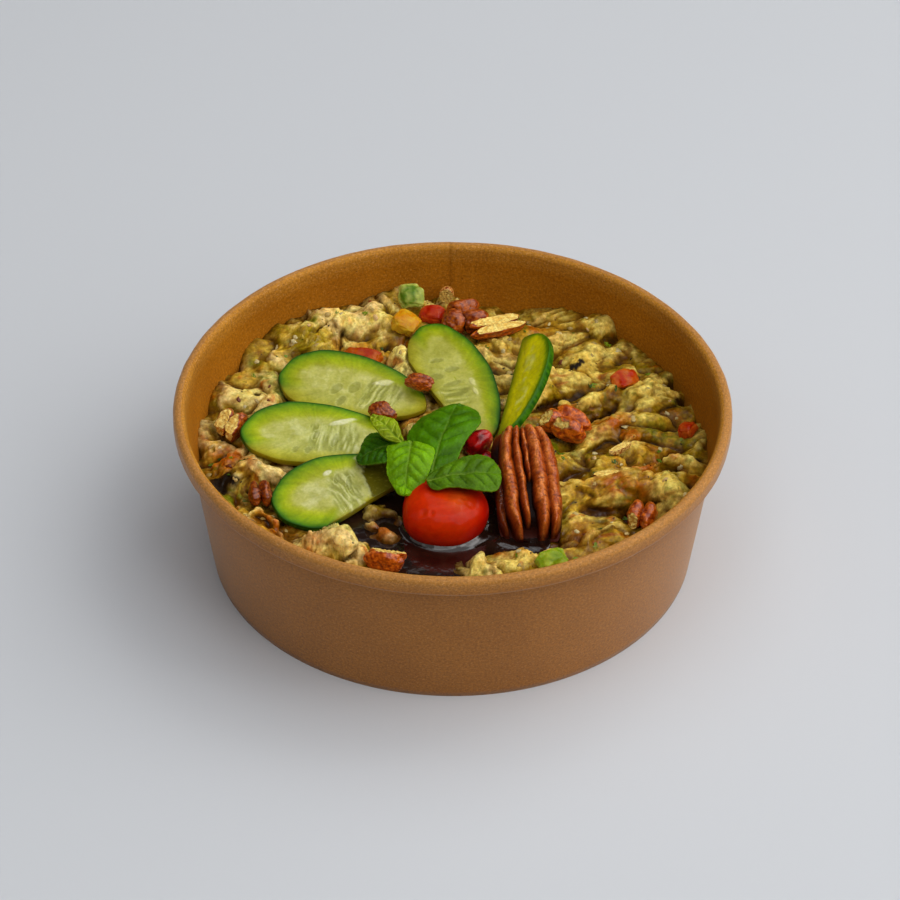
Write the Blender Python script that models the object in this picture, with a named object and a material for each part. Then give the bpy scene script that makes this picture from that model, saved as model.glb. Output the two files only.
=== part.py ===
"""Baba ganoush in a round kraft-paper salad bowl, dressed with cucumber, mint, tomato and pecans.

Every size below is in millimetres, and MM turns it into Blender's metres.  The origin is the centre
of the bowl's foot: +Z is up, -Y is the front, where the tomato sits in its pool of molasses.
"""

import math

import bmesh
import bpy
import numpy as np
from mathutils import Matrix, Vector, geometry, noise

MM = 0.001

# ---- bowl -------------------------------------------------------------------------------------
RIM_RADIUS = 75.0           # outside of the rolled rim
BOWL_HEIGHT = 47.13         # top of the rolled rim
FOOT_RADIUS = 65.4          # outside of the wall where it meets the table
WALL_FLARE = 0.1524         # how far the wall leans out for each millimetre of height
BOARD = 0.5                 # thickness of the paper board
GAP = 0.3                   # air left between two pieces that touch
ROLL_TOP_RADIUS = 1.65      # rounded top of the rolled rim
ROLL_FOOT_RADIUS = 1.4      # curled lower lip of the rolled rim
ROLL_FOOT_Z = 43.2          # centre height of that lower curl
LIP_END = -140.0            # where the lower curl stops, in degrees
HEM_HEIGHT = 4.4            # height of the wall's folded-in hem
HEM_WIDTH = 2.0             # hem's flat underside, which the bowl rests on
FLOOR_TOP = 5.2             # top of the recessed base disc
BOWL_SEGMENTS = 48

# ---- dip and pool -----------------------------------------------------------------------------
DIP_LEVEL = 29.3            # general level of the dip
DIP_SPACING = 3.9          # distance between the dip's surface points
DIP_RING = 112             # points round the dip's edge
DIP_MAX_LIFT = 5.0          # the dip swells up to a garnish that lies no higher than this over it
POOL_LEVEL = 29.8
POOL_DEPTH = 1.5
POOL_SEGMENTS = 36
# distance of the shore from the tomato's centre in eight directions, by degrees from +X
POOL_SHORE = ((0, 21.0), (40, 14.5), (100, 14.5), (168, 26.0), (218, 18.0), (262, 22.0), (300, 15.0),
              (338, 26.5))

# ---- garnish ----------------------------------------------------------------------------------
TOMATO_CENTRE = (-2.0, -30.2)
TOMATO_RADIUS = 11.45
TOMATO_HEIGHT = 11.2
TOMATO_SEGMENTS = 20
SLICE_THICKNESS = 2.4
SLICE_POINTS = 24
LEAF_THICKNESS = 0.45

# Raised forms of the dip: x, y, heading of the long axis in degrees, half length along it,
# width to its left, width to its right, height.  A narrow width makes that flank steep.
DIP_FORMS = [
    (0.0, -2.0, 0, 26, 24, 13, 4.6),        # heap that carries the slices and the mint
    (-49.0, 46.0, 138, 20, 13, 12, 7.0),    # broad swell at the back left
    (-29.0, 54.0, 168, 13, 9, 8, 5.0),
    (-16.0, 62.0, 115, 8, 7, 6, 5.6),       # lump beside the green pepper
    (-15.0, 30.0, 115, 9, 6, 5, 7.0),       # lump against the top slice
    (4.0, 36.0, 100, 12, 5, 5, 3.6),        # between the two upper slices
    (36.0, 55.0, 160, 12, 7, 8, 5.6),       # back right swell
    (34.0, 30.0, 30, 14, 13, 2.6, 4.0),     # flap with a steep front edge
    (54.0, 28.0, 60, 8, 6, 6, 3.6),
    (43.0, 10.0, 20, 11, 5, 4, 2.8),
    (54.0, -6.0, 3, 17, 2.4, 7, 4.0),       # two long folds on the right
    (47.0, -18.5, 8, 21, 2.0, 9, 5.2),
    (38.0, -37.0, 35, 11, 4, 6, 3.4),
    (55.0, -28.0, 50, 9, 5, 5, 2.8),
    (-50.0, -12.5, 160, 10, 5, 6, 4.2),     # pale swell between two slices
    (-61.0, 24.0, 110, 11, 6, 6, 3.6),
    (-33.0, -41.0, 165, 10, 6, 6, 5.4),     # big lump at the front left
    (-51.0, -33.0, 130, 9, 4, 5, 3.6),
    (8.0, -51.0, 5, 9, 5, 6, 4.4),          # lumps that close the pool at the front
    (24.0, -47.0, 20, 8, 5, 6, 3.8),
    (-68.0, 0.0, 90, 12, 7, 7, -2.6),       # hollows along the wall
    (68.0, 4.0, 90, 20, 8, 8, -2.6),
]
# The same surface's small lumps: width and height of each layer.
DIP_LUMPS = ((9.0, 2.2), (4.6, 1.0))

# Garnishes that are cut from a whole: see the functions that build them.
# name: centre, length, width, heading, slope towards the front, slope towards +X, taper, buried side
CUCUMBER_SLICES = {
    "cucumber_slice_1": ((-27.2, 22.6, 34.4), 42.0, 22.5, 163.0, 0.20, 0.0, 0.22, 0.0),
    "cucumber_slice_2": ((-36.3, 3.2, 33.4), 42.0, 21.0, 178.0, 0.20, -0.03, 0.22, 0.0),
    "cucumber_slice_3": ((-28.0, -20.6, 33.7), 41.0, 23.0, 199.0, 0.22, 0.0, 0.25, 0.55),
    "cucumber_slice_4": ((0.6, 24.2, 35.8), 47.0, 21.2, 110.0, 0.14, 0.0, 0.05, 0.40),
}
LEANING_SLICE = {"foot": (13.2, 1.4, 33.8), "head": (20.4, 40.0, 38.4), "bulge": 12.0, "lean": 40.0}

# name: base, tip, width, arch across the leaf, sag of the tip, roll to the right in degrees
MINT_LEAVES = {
    "mint_leaf_1": ((-13.4, -10.2, 44.6), (-21.3, -1.3, 45.8), 6.8, 0.9, 0.4, 0.0),
    "mint_leaf_2": ((-15.2, -9.2, 41.0), (-25.6, -12.2, 39.4), 12.6, 1.2, 0.8, 8.0),
    "mint_leaf_3": ((-5.4, -22.4, 40.6), (1.2, 4.0, 45.4), 19.6, 2.0, 1.6, -9.0),
    "mint_leaf_4": ((-11.2, -11.0, 44.0), (-13.1, -27.2, 40.4), 13.4, 1.4, 0.6, 3.0),
    "mint_leaf_5": ((-5.6, -25.6, 43.6), (13.2, -23.6, 44.4), 14.6, 1.2, 0.6, 6.0),
}
STEM_FOOT = (-7.2, -24.2, 39.8)
STEM_TOP = (-12.8, -8.4, 40.2)
STEM_RADIUS = 0.75
STEM_SAG = 2.6

PECAN_HALF = {"foot": (21.2, -38.0, 30.6), "head": (18.0, -6.2, 42.8), "width": 17.4, "height": 7.6}

# name: centre, length, width, height, heading, pitch, roll, broken side in degrees round the piece
PECAN_PIECES = {
    "pecan_piece_1": ((3.0, 52.6, 36.6), 12.0, 10.0, 8.0, 20, 0, 10, 60),
    "pecan_piece_2": ((11.8, 49.0, 36.4), 16.5, 6.6, 5.4, 28, -8, 20, 100),
    "pecan_piece_3": ((-1.8, 64.6, 35.4), 5.4, 4.0, 5.2, 70, 20, 0, 30),
    "pecan_piece_4": ((-60.6, 8.8, 32.4), 9.6, 8.6, 6.6, 60, 10, 0, 200),
    "pecan_piece_5": ((-18.8, 9.4, 37.0), 8.4, 6.4, 5.0, -20, 0, 12, 80),
    "pecan_piece_6": ((-9.2, 20.4, 38.6), 8.0, 5.6, 4.2, -18, 0, 0, 270),
    "pecan_piece_7": ((30.2, 7.4, 34.6), 14.0, 10.4, 7.6, -30, 0, -8, 215),
    "pecan_piece_8": ((45.2, -2.4, 34.0), 7.4, 3.2, 3.0, 40, 0, 0, 300),
    "pecan_piece_9": ((42.0, -14.8, 34.4), 8.6, 4.2, 3.0, 5, 0, 0, 90),
    "pecan_piece_10": ((50.4, -30.6, 33.0), 9.4, 7.6, 7.6, 75, 12, 0, 330),
    "pecan_piece_11": ((-17.4, -48.4, 33.4), 10.2, 7.8, 7.0, -12, 0, 0, 90),
    "pecan_piece_12": ((-51.2, -21.4, 32.8), 8.6, 6.2, 6.0, 100, 0, 0, 20),
}

# name: centre, radius, length, heading, pitch
ARILS = {
    "pomegranate_aril_1": ((6.9, -6.8, 39.0), 3.7, 8.8, 35, 20),
    "pomegranate_aril_2": ((9.6, -12.6, 37.2), 2.9, 6.6, 70, -10),
}

# name: centre, length, width, wall thickness, heading, pitch, roll
PEPPER_DICE = {
    "pepper_green_1": ((-11.8, 61.4, 37.4), 7.0, 6.6, 2.6, 5, 0, 42),
    "pepper_yellow_1": ((-13.2, 51.4, 36.2), 7.2, 6.6, 3.0, 70, 0, 20),
    "pepper_red_1": ((-5.6, 55.9, 35.2), 6.8, 4.6, 2.6, -15, 0, 25),
    "pepper_red_2": ((-24.6, 37.4, 35.0), 9.4, 4.4, 2.6, -14, 0, 15),
    "pepper_red_3": ((47.4, 30.0, 33.4), 6.4, 4.8, 2.4, 28, 0, 20),
    "pepper_red_4": ((64.2, 10.0, 31.2), 5.6, 4.2, 2.4, 60, 0, -20),
    "pepper_green_2": ((26.2, -50.2, 34.2), 8.0, 5.4, 2.4, 30, 0, 15),
}


# ---- helpers ----------------------------------------------------------------------------------
def clear_scene():
    for item in list(bpy.data.objects):
        bpy.data.objects.remove(item, do_unlink=True)


def material(name, colour, roughness, metallic=0.0):
    """One Principled material; its colour is linear RGB."""
    made = bpy.data.materials.new(name)
    made.use_nodes = True
    shader = made.node_tree.nodes["Principled BSDF"]
    shader.inputs["Base Color"].default_value = (*colour, 1.0)
    shader.inputs["Roughness"].default_value = roughness
    shader.inputs["Metallic"].default_value = metallic
    return made


def add_object(name, mesh_builder, finish, smooth_angle=40.0):
    """Make an object of a closed bmesh, with its faces pointing out."""
    if mesh_builder.calc_volume(signed=True) < 0.0:
        bmesh.ops.reverse_faces(mesh_builder, faces=mesh_builder.faces)
    mesh = bpy.data.meshes.new(name)
    mesh_builder.to_mesh(mesh)
    mesh_builder.free()
    mesh.materials.append(finish)
    mesh.shade_smooth()
    mesh.set_sharp_from_angle(angle=math.radians(smooth_angle))
    made = bpy.data.objects.new(name, mesh)
    bpy.context.collection.objects.link(made)
    return made


def loft(rings, ends="centred", middles=(None, None)):
    """Skin a row of equal rings of points.

    The two ends are "joined" to each other, or each is closed: "centred" on a middle point, or
    "folded" where the ring is thin and its second half lies under its first.
    """
    built = bmesh.new()
    rows = [[built.verts.new(Vector(point) * MM) for point in ring] for ring in rings]
    count = len(rows[0])
    pairs = list(zip(rows, rows[1:]))
    if ends == "joined":
        pairs.append((rows[-1], rows[0]))
    for lower, upper in pairs:
        for i in range(count):
            j = (i + 1) % count
            built.faces.new((lower[i], lower[j], upper[j], upper[i]))
    for row, middle in zip((rows[0][::-1], rows[-1]), middles):
        if ends == "centred":
            mean = sum((vert.co for vert in row), Vector()) / count
            centre = built.verts.new(mean if middle is None else Vector(middle) * MM)
            for i in range(count):
                built.faces.new((row[i], row[(i + 1) % count], centre))
        if ends == "folded":
            for i in range(count // 2 - 1):
                built.faces.new((row[i], row[i + 1], row[-i - 2], row[-i - 1]))
    quads = [face for face in built.faces if len(face.verts) > 3]
    bmesh.ops.triangulate(built, faces=quads, quad_method="SHORT_EDGE")
    return built


def turned(profile, segments):
    """The rings that a closed (radius, height) profile leaves as it turns about Z."""
    rings = []
    for k in range(segments):
        angle = math.tau * k / segments
        rings.append([(r * math.cos(angle), r * math.sin(angle), z) for r, z in profile])
    return rings


def level_rings(profile, segments):
    """One level ring of points for each (radius, height)."""
    turns = [math.tau * k / segments for k in range(segments)]
    return [[(r * math.cos(a), r * math.sin(a), z) for a in turns] for r, z in profile]


def arc(centre, radius, start, stop, steps):
    """Points of a (radius, height) arc, both ends included, in degrees."""
    angles = [math.radians(start + (stop - start) * k / steps) for k in range(steps + 1)]
    return [(centre[0] + radius * math.cos(a), centre[1] + radius * math.sin(a)) for a in angles]


def wall_outside(height):
    return FOOT_RADIUS + WALL_FLARE * height


def wall_inside(height):
    return wall_outside(height) - BOARD


def contents_radius(height):
    """Radius that stays clear of the inner wall's flat facets."""
    return wall_inside(height) * math.cos(math.pi / BOWL_SEGMENTS) - GAP


def frame(heading, pitch=0.0, roll=0.0):
    """Rotation that points X along the heading, lifts it by pitch and rolls about it."""
    turn = Matrix.Rotation(math.radians(heading), 3, "Z")
    lift = Matrix.Rotation(math.radians(-pitch), 3, "Y")
    spin = Matrix.Rotation(math.radians(roll), 3, "X")
    return turn @ lift @ spin


def place(built, centre, rotation):
    """Turn a bmesh made round the origin and move it to its centre."""
    for vert in built.verts:
        vert.co = rotation @ vert.co + Vector(centre) * MM


# ---- bowl -------------------------------------------------------------------------------------
def bowl_wall(finish):
    """One sheet of board: folded hem, leaning wall and rim rolled outwards and down."""
    top_z = BOWL_HEIGHT - ROLL_TOP_RADIUS
    top_centre = (RIM_RADIUS - ROLL_TOP_RADIUS, top_z)
    foot_centre = (RIM_RADIUS - ROLL_FOOT_RADIUS, ROLL_FOOT_Z)
    inside_of_roll = arc(top_centre, ROLL_TOP_RADIUS - BOARD, 180, 0, 4)
    inside_of_roll += arc(foot_centre, ROLL_FOOT_RADIUS - BOARD, 0, LIP_END, 3)
    outside_of_roll = arc(foot_centre, ROLL_FOOT_RADIUS, LIP_END, 0, 3)
    outside_of_roll += arc(top_centre, ROLL_TOP_RADIUS, 0, 180, 4)
    hem_inside = FOOT_RADIUS - HEM_WIDTH
    profile = [(FOOT_RADIUS, 0.0)] + inside_of_roll + outside_of_roll
    profile += [
        (wall_inside(BOARD), BOARD),
        (hem_inside + BOARD + WALL_FLARE * BOARD, BOARD),
        (hem_inside + BOARD + WALL_FLARE * HEM_HEIGHT, HEM_HEIGHT),
        (hem_inside + WALL_FLARE * HEM_HEIGHT, HEM_HEIGHT),
        (hem_inside, 0.0),
    ]
    return add_object("bowl_wall", loft(turned(profile, BOWL_SEGMENTS), "joined"), finish)


def bowl_base(finish):
    """Recessed disc whose skirt hangs in the pocket between wall and hem."""
    pocket_inside = FOOT_RADIUS - HEM_WIDTH + BOARD
    skirt_inside = pocket_inside + GAP
    skirt_outside = wall_inside(0.0) - GAP
    skirt_foot = BOARD + GAP
    underside = FLOOR_TOP - BOARD
    profile = [
        (skirt_inside + WALL_FLARE * underside, underside),
        (skirt_inside + WALL_FLARE * skirt_foot, skirt_foot),
        (skirt_outside + WALL_FLARE * skirt_foot, skirt_foot),
        (skirt_outside + WALL_FLARE * FLOOR_TOP, FLOOR_TOP),
    ]
    return add_object("bowl_base", loft(level_rings(profile, BOWL_SEGMENTS)), finish)


# ---- garnish ----------------------------------------------------------------------------------
def pool_shore(angle):
    """Distance of the pool's shore from the tomato's centre, eased between the named directions."""
    turns = POOL_SHORE + ((POOL_SHORE[0][0] + 360, POOL_SHORE[0][1]),)
    degrees = math.degrees(angle) % 360.0
    for (start, near), (stop, far) in zip(turns, turns[1:]):
        if start <= degrees <= stop:
            share = (degrees - start) / (stop - start)
            return near + (far - near) * (1.0 - math.cos(math.pi * share)) / 2.0


def molasses_pool(finish):
    """Thin flat pool that surrounds the tomato."""
    bottom = POOL_LEVEL - POOL_DEPTH
    inner, outer = [], []
    for k in range(POOL_SEGMENTS):
        angle = math.tau * k / POOL_SEGMENTS
        direction = Vector((math.cos(angle), math.sin(angle)))
        middle = Vector(TOMATO_CENTRE)
        inner.append(middle + direction * (TOMATO_RADIUS + GAP + 0.1))
        outer.append(middle + direction * pool_shore(angle))
    rings = [
        [(*p, bottom) for p in inner],
        [(*p, POOL_LEVEL) for p in inner],
        [(*p, POOL_LEVEL) for p in outer],
        [(*(p + (q - p) * 0.94), bottom) for p, q in zip(inner, outer)],
    ]
    return add_object("molasses_pool", loft(rings, "joined"), finish)


def tomato_half(finish):
    """Half a cherry tomato, its cut face down in the pool and its shoulders a little full."""
    foot = POOL_LEVEL - POOL_DEPTH
    steps = 7
    profile = [(TOMATO_RADIUS - 0.5, foot)]
    for k in range(steps):
        angle = 0.5 * math.pi * (k + 0.35) / steps
        bulge = math.cos(angle) ** 0.94
        height = (TOMATO_HEIGHT + POOL_DEPTH - 0.5) * math.sin(angle)
        profile.append((TOMATO_RADIUS * bulge, foot + 0.5 + height))
    rings = level_rings(profile, TOMATO_SEGMENTS)
    shifted = [[(x + TOMATO_CENTRE[0], y + TOMATO_CENTRE[1], z) for x, y, z in r] for r in rings]
    return add_object("tomato_half", loft(shifted), finish)


def slice_rings(outline, warp):
    """Rings of a thin slice: sunken seed bed, flesh, rounded skin and flat underside."""
    skin = SLICE_THICKNESS / 2
    levels = [(0.5, skin - 0.3), (0.8, skin), (0.97, skin), (1.0, 0.0), (0.95, -skin)]
    return [[warp(x * scale, y * scale, z) for x, y in outline] for scale, z in levels]


def cucumber_slice(name, finish):
    """Long slanting slice: an oval that narrows to one end, bent a little over what it lies on."""
    centre, length, width, heading, to_front, to_side, taper, buried = CUCUMBER_SLICES[name]
    outline = []
    for k in range(SLICE_POINTS):
        angle = math.tau * k / SLICE_POINTS
        along = math.cos(angle)
        across = math.sin(angle) * (1.0 + taper * along)
        if across > 0.0:
            across *= 1.0 - buried * max(0.0, min(1.0, 0.45 - along)) ** 0.7
        outline.append((0.5 * length * along, 0.5 * width * across))
    normal = Vector((-to_side, -to_front, 1.0)).normalized()
    level_axis = Vector((math.cos(math.radians(heading)), math.sin(math.radians(heading)), 0.0))
    long_axis = (level_axis - normal * level_axis.dot(normal)).normalized()
    cross_axis = normal.cross(long_axis)

    def warp(x, y, z):
        sag = 0.9 * (2.0 * x / length) ** 2
        return Vector(centre) + long_axis * x + cross_axis * y + normal * (z - sag)

    return add_object(name, loft(slice_rings(outline, warp)), finish)


def leaning_slice(name, finish):
    """Slice that stands in the dip on one long side, its skin leaning up and to the right."""
    foot, head = Vector(LEANING_SLICE["foot"]), Vector(LEANING_SLICE["head"])
    long_axis = (head - foot).normalized()
    half = (head - foot).length / 2
    lean = math.radians(LEANING_SLICE["lean"])
    rise = Vector((math.cos(lean), 0.0, math.sin(lean)))
    rise = (rise - long_axis * rise.dot(long_axis)).normalized()
    normal = rise.cross(long_axis)
    if normal.z < 0.0:
        normal.negate()
    middle = (foot + head) / 2
    bulge = LEANING_SLICE["bulge"]
    outline = []
    arc_points = SLICE_POINTS - 6
    for k in range(arc_points):
        angle = math.pi * k / (arc_points - 1)
        fullness = 1.0 + 0.16 * math.cos(angle)
        outline.append((half * math.cos(angle), bulge * (fullness * math.sin(angle) ** 0.9 - 0.42)))
    for k in range(1, 7):
        outline.append((half * (-1.0 + 2.0 * k / 7), -0.47 * bulge))

    def warp(x, y, z):
        return middle + long_axis * x + rise * (y + 0.42 * bulge) + normal * z

    return add_object(name, loft(slice_rings(outline, warp)), finish)


def mint_leaf(name, finish):
    """Thin arched leaf that folds along its midrib and narrows to base and tip."""
    base, tip, width, arch, sag, roll = MINT_LEAVES[name]
    base, tip = Vector(base), Vector(tip)
    along = (tip - base).normalized()
    side = along.cross(Vector((0.0, 0.0, 1.0))).normalized()
    side = Matrix.Rotation(math.radians(roll), 3, along) @ side
    up = side.cross(along)
    length = (tip - base).length
    rings = []
    rows, columns = 8, 5
    for i in range(rows):
        u = 0.04 + 0.93 * i / (rows - 1)
        half = 0.5 * width * math.sin(math.pi * u ** 0.82) ** 0.62
        line = base + along * (length * u) + up * (arch * math.sin(math.pi * u) - sag * u * u)
        top = []
        for k in range(columns):
            v = -1.0 + 2.0 * k / (columns - 1)
            fall = (half / (0.5 * width)) * (arch * 0.7 * v * v - 0.35 * abs(v))
            top.append(line + side * (half * v) - up * fall)
        under = [point - up * LEAF_THICKNESS for point in reversed(top)]
        rings.append(top + under)
    return add_object(name, loft(rings, "folded"), finish)


def mint_stem(finish):
    """Short square-ish stem that the leaves of the sprig grow from."""
    foot, top = Vector(STEM_FOOT), Vector(STEM_TOP)
    along = (top - foot).normalized()
    side = along.cross(Vector((0.0, 0.0, 1.0))).normalized()
    up = side.cross(along)
    rings = []
    for i in range(7):
        u = i / 6
        line = foot.lerp(top, u) - up * (STEM_SAG * math.sin(math.pi * u))
        corners = [math.tau * (k + 0.5) / 6 for k in range(6)]
        rings.append([line + (side * math.cos(a) + up * math.sin(a)) * STEM_RADIUS for a in corners])
    return add_object("mint_stem", loft(rings), finish)


def pecan_half(finish):
    """Half a pecan kernel, ridged side up: two lobes on each side of the deep middle groove."""
    foot, head = Vector(PECAN_HALF["foot"]), Vector(PECAN_HALF["head"])
    width, height = PECAN_HALF["width"], PECAN_HALF["height"]
    along = (head - foot).normalized()
    side = along.cross(Vector((0.0, 0.0, 1.0))).normalized()
    up = side.cross(along)
    length = (head - foot).length
    rings, middles = [], []
    rows, columns = 10, 21
    for i in range(rows):
        u = 0.012 + 0.976 * i / (rows - 1)
        if u < 0.35:
            girth = (1.0 - ((0.35 - u) / 0.36) ** 4) ** 0.45
        else:
            girth = (1.0 - ((u - 0.35) / 0.66) ** 2.6) ** 0.5
        line = foot + along * (length * u)
        ring = []
        for k in range(columns):
            angle = math.pi * k / (columns - 1)
            across = math.cos(angle)
            crown = math.sin(angle) ** 0.55
            ridge = 0.80 + 0.20 * math.cos(5.0 * math.pi * across)
            groove = 1.0 - 0.45 * math.exp(-((across / 0.13) ** 2))
            lift = height * crown * ridge * groove * girth
            ring.append(line + side * (0.5 * width * girth * across) + up * lift)
        for across in (-0.5, 0.5):
            ring.append(line + side * (0.5 * width * girth * across) + up * (0.4 * girth))
        rings.append(ring)
        middles.append(line + up * (0.14 * height * girth))
    return add_object("pecan_half", loft(rings, middles=(middles[0], middles[-1])), finish, 60.0)


def pecan_piece(name, number, finish):
    """Broken bit of kernel: lobed and wrinkled, with one flat broken face."""
    centre, length, width, height, heading, pitch, roll, broken = PECAN_PIECES[name]
    built = bmesh.new()
    bmesh.ops.create_icosphere(built, subdivisions=2, radius=0.5 * MM)
    for vert in built.verts:
        way = vert.co.normalized()
        lobes = 0.13 * math.cos(3.0 * math.atan2(way.z, way.y) + number)
        rough = 0.22 * noise.noise(way * 2.1 + Vector((number, 0.0, 0.0)))
        vert.co *= 1.0 + lobes + rough
        vert.co = Vector((vert.co.x * length, vert.co.y * width, vert.co.z * height))
    angle = math.radians(broken)
    cut = Vector((math.cos(angle), math.sin(angle), 0.35)).normalized()
    reach = 0.30 * MM * Vector((cut.x * length, cut.y * width, cut.z * height)).length
    for vert in built.verts:
        beyond = vert.co.dot(cut) - reach
        if beyond > 0.0:
            vert.co -= cut * beyond
    place(built, centre, frame(heading, pitch, roll))
    return add_object(name, built, finish)


def pomegranate_aril(name, finish):
    """Juicy seed: a rounded body that narrows to its pale end."""
    centre, radius, length, heading, pitch = ARILS[name]
    rings = []
    for i in range(6):
        u = (i + 0.5) / 6
        girth = radius * math.sin(math.pi * u) ** 0.6 * (1.0 - 0.28 * u)
        x = length * (u - 0.5)
        turns = [math.tau * k / 8 for k in range(8)]
        rings.append([(x, girth * math.cos(a), girth * math.sin(a)) for a in turns])
    built = loft(rings)
    place(built, centre, frame(heading, pitch))
    return add_object(name, built, finish)


def pepper_dice(name, finish):
    """Small square of pepper: a bit of curved wall with softened edges."""
    centre, length, width, thickness, heading, pitch, roll = PEPPER_DICE[name]
    rings = []
    for i in range(4):
        u = -1.0 + 2.0 * i / 3
        shrink = 1.0 - 0.12 * abs(u) ** 3
        bend = 0.22 * thickness * (1.0 - u * u)
        corners = arc((0.0, 0.0), 1.0, 45, 405 - 45, 7)
        ring = []
        for cosine, sine in corners:
            y = 0.5 * width * shrink * max(-1.0, min(1.0, 1.3 * cosine))
            z = 0.5 * thickness * shrink * max(-1.0, min(1.0, 1.3 * sine))
            ring.append((0.5 * length * u, y, z + bend))
        rings.append(ring)
    built = loft(rings)
    place(built, centre, frame(heading, pitch, roll))
    return add_object(name, built, finish)


# ---- dip --------------------------------------------------------------------------------------
def dip_height(x, y):
    """Height of the free surface of the dip."""
    height = DIP_LEVEL
    for cx, cy, heading, reach, left, right, rise in DIP_FORMS:
        angle = math.radians(heading)
        along = (x - cx) * math.cos(angle) + (y - cy) * math.sin(angle)
        across = (y - cy) * math.cos(angle) - (x - cx) * math.sin(angle)
        spread = left if across > 0.0 else right
        height += rise * math.exp(-((along / reach) ** 4) - (across / spread) ** 2)
    for width, rise in DIP_LUMPS:
        height += rise * noise.noise(Vector((x / width, y / width, width)))
    return height


def surface_samples(made, spacing):
    """Points spread over an object's triangles, in millimetres."""
    mesh = made.data
    samples = []
    for face in mesh.polygons:
        corners = [np.array(mesh.vertices[i].co) / MM for i in face.vertices]
        for second, third in zip(corners[1:], corners[2:]):
            edge_a, edge_b = second - corners[0], third - corners[0]
            longest = max(np.linalg.norm(edge_a), np.linalg.norm(edge_b), 0.01)
            steps = max(1, math.ceil(longest / spacing))
            for i in range(steps + 1):
                for j in range(steps + 1 - i):
                    samples.append(corners[0] + edge_a * i / steps + edge_b * j / steps)
    return np.array(samples)


def dip(finish, garnishes):
    """The dip up to its lumpy surface, bedded under every garnish and filling the bowl."""
    bottom = FLOOR_TOP + GAP
    edge_radius = contents_radius(DIP_LEVEL)
    flat = []
    for k in range(DIP_RING):
        angle = math.tau * k / DIP_RING
        flat.append(Vector((edge_radius * math.cos(angle), edge_radius * math.sin(angle))))
    rows = int(edge_radius / (DIP_SPACING * 0.866)) + 1
    for row in range(-rows, rows + 1):
        offset = 0.5 * DIP_SPACING * (row % 2)
        for column in range(-rows - 2, rows + 3):
            point = Vector((column * DIP_SPACING + offset, row * DIP_SPACING * 0.866))
            if point.length < edge_radius - 0.62 * DIP_SPACING:
                flat.append(point)
    points, _, faces, *_ = geometry.delaunay_2d_cdt(flat, [], [], 0, 0.001)
    samples = np.concatenate([surface_samples(item, 1.2) for item in garnishes])
    reach = DIP_SPACING * 1.06
    built = bmesh.new()
    top = []
    for point in points:
        height = dip_height(point.x, point.y)
        near = np.hypot(samples[:, 0] - point.x, samples[:, 1] - point.y) < reach
        if near.any():
            ceiling = samples[near, 2].min() - GAP - 0.1
            lift = ceiling - height
            if lift < DIP_MAX_LIFT:
                height = ceiling
        on_edge = point.length > edge_radius - 0.1
        scale = contents_radius(height) / edge_radius if on_edge else 1.0
        top.append(built.verts.new(Vector((point.x * scale, point.y * scale, height)) * MM))
    for face in faces:
        built.faces.new([top[i] for i in face])
    rim = sorted((vert for vert in top if vert.is_boundary),
                 key=lambda vert: math.atan2(vert.co.y, vert.co.x))
    foot_radius = contents_radius(bottom)
    foot = []
    for vert in rim:
        way = Vector((vert.co.x, vert.co.y)).normalized()
        foot.append(built.verts.new(Vector((way.x * foot_radius, way.y * foot_radius, bottom)) * MM))
    for i in range(len(rim)):
        j = (i + 1) % len(rim)
        built.faces.new((rim[j], rim[i], foot[i], foot[j]))
    built.faces.new(foot[::-1])
    bmesh.ops.triangulate(built, faces=[face for face in built.faces if len(face.verts) > 3])
    return add_object("dip", built, finish, 70.0)


# ---- the whole --------------------------------------------------------------------------------
def main():
    clear_scene()
    kraft = material("kraft_board", (0.42, 0.22, 0.10), 0.7)
    puree = material("aubergine_dip", (0.40, 0.33, 0.12), 0.4)
    syrup = material("molasses", (0.03, 0.012, 0.012), 0.08)
    tomato_skin = material("tomato_skin", (0.62, 0.07, 0.015), 0.2)
    cucumber = material("cucumber", (0.40, 0.52, 0.14), 0.3)
    mint = material("mint", (0.07, 0.26, 0.02), 0.45)
    pecan = material("pecan", (0.26, 0.09, 0.03), 0.45)
    aril = material("pomegranate", (0.40, 0.01, 0.03), 0.15)
    pepper_colours = {
        "green": material("green_pepper", (0.20, 0.36, 0.04), 0.3),
        "yellow": material("yellow_pepper", (0.72, 0.42, 0.03), 0.3),
        "red": material("red_pepper", (0.60, 0.06, 0.02), 0.3),
    }
    bowl_wall(kraft)
    bowl_base(kraft)
    garnishes = [molasses_pool(syrup), tomato_half(tomato_skin)]
    garnishes += [cucumber_slice(name, cucumber) for name in CUCUMBER_SLICES]
    garnishes.append(leaning_slice("cucumber_slice_5", cucumber))
    garnishes += [mint_leaf(name, mint) for name in MINT_LEAVES]
    garnishes.append(mint_stem(mint))
    garnishes.append(pecan_half(pecan))
    for number, name in enumerate(PECAN_PIECES):
        garnishes.append(pecan_piece(name, number, pecan))
    garnishes += [pomegranate_aril(name, aril) for name in ARILS]
    for name in PEPPER_DICE:
        colour = name.split("_")[1]
        garnishes.append(pepper_dice(name, pepper_colours[colour]))
    dip(puree, garnishes)


main()
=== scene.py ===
"""Looks of the baba ganoush: a kraft-board bowl of chunky aubergine dip with its garnish.

Lengths are in millimetres and MM turns them into Blender's metres.  The origin is the centre of the
bowl's foot, +Z is up and -Y is the front.  Every piece is a closed mesh made here, on top of the
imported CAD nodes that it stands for.
"""

import itertools
import math

import bpy
import numpy as np
from mathutils import Matrix, Vector
from mathutils.bvhtree import BVHTree


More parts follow.
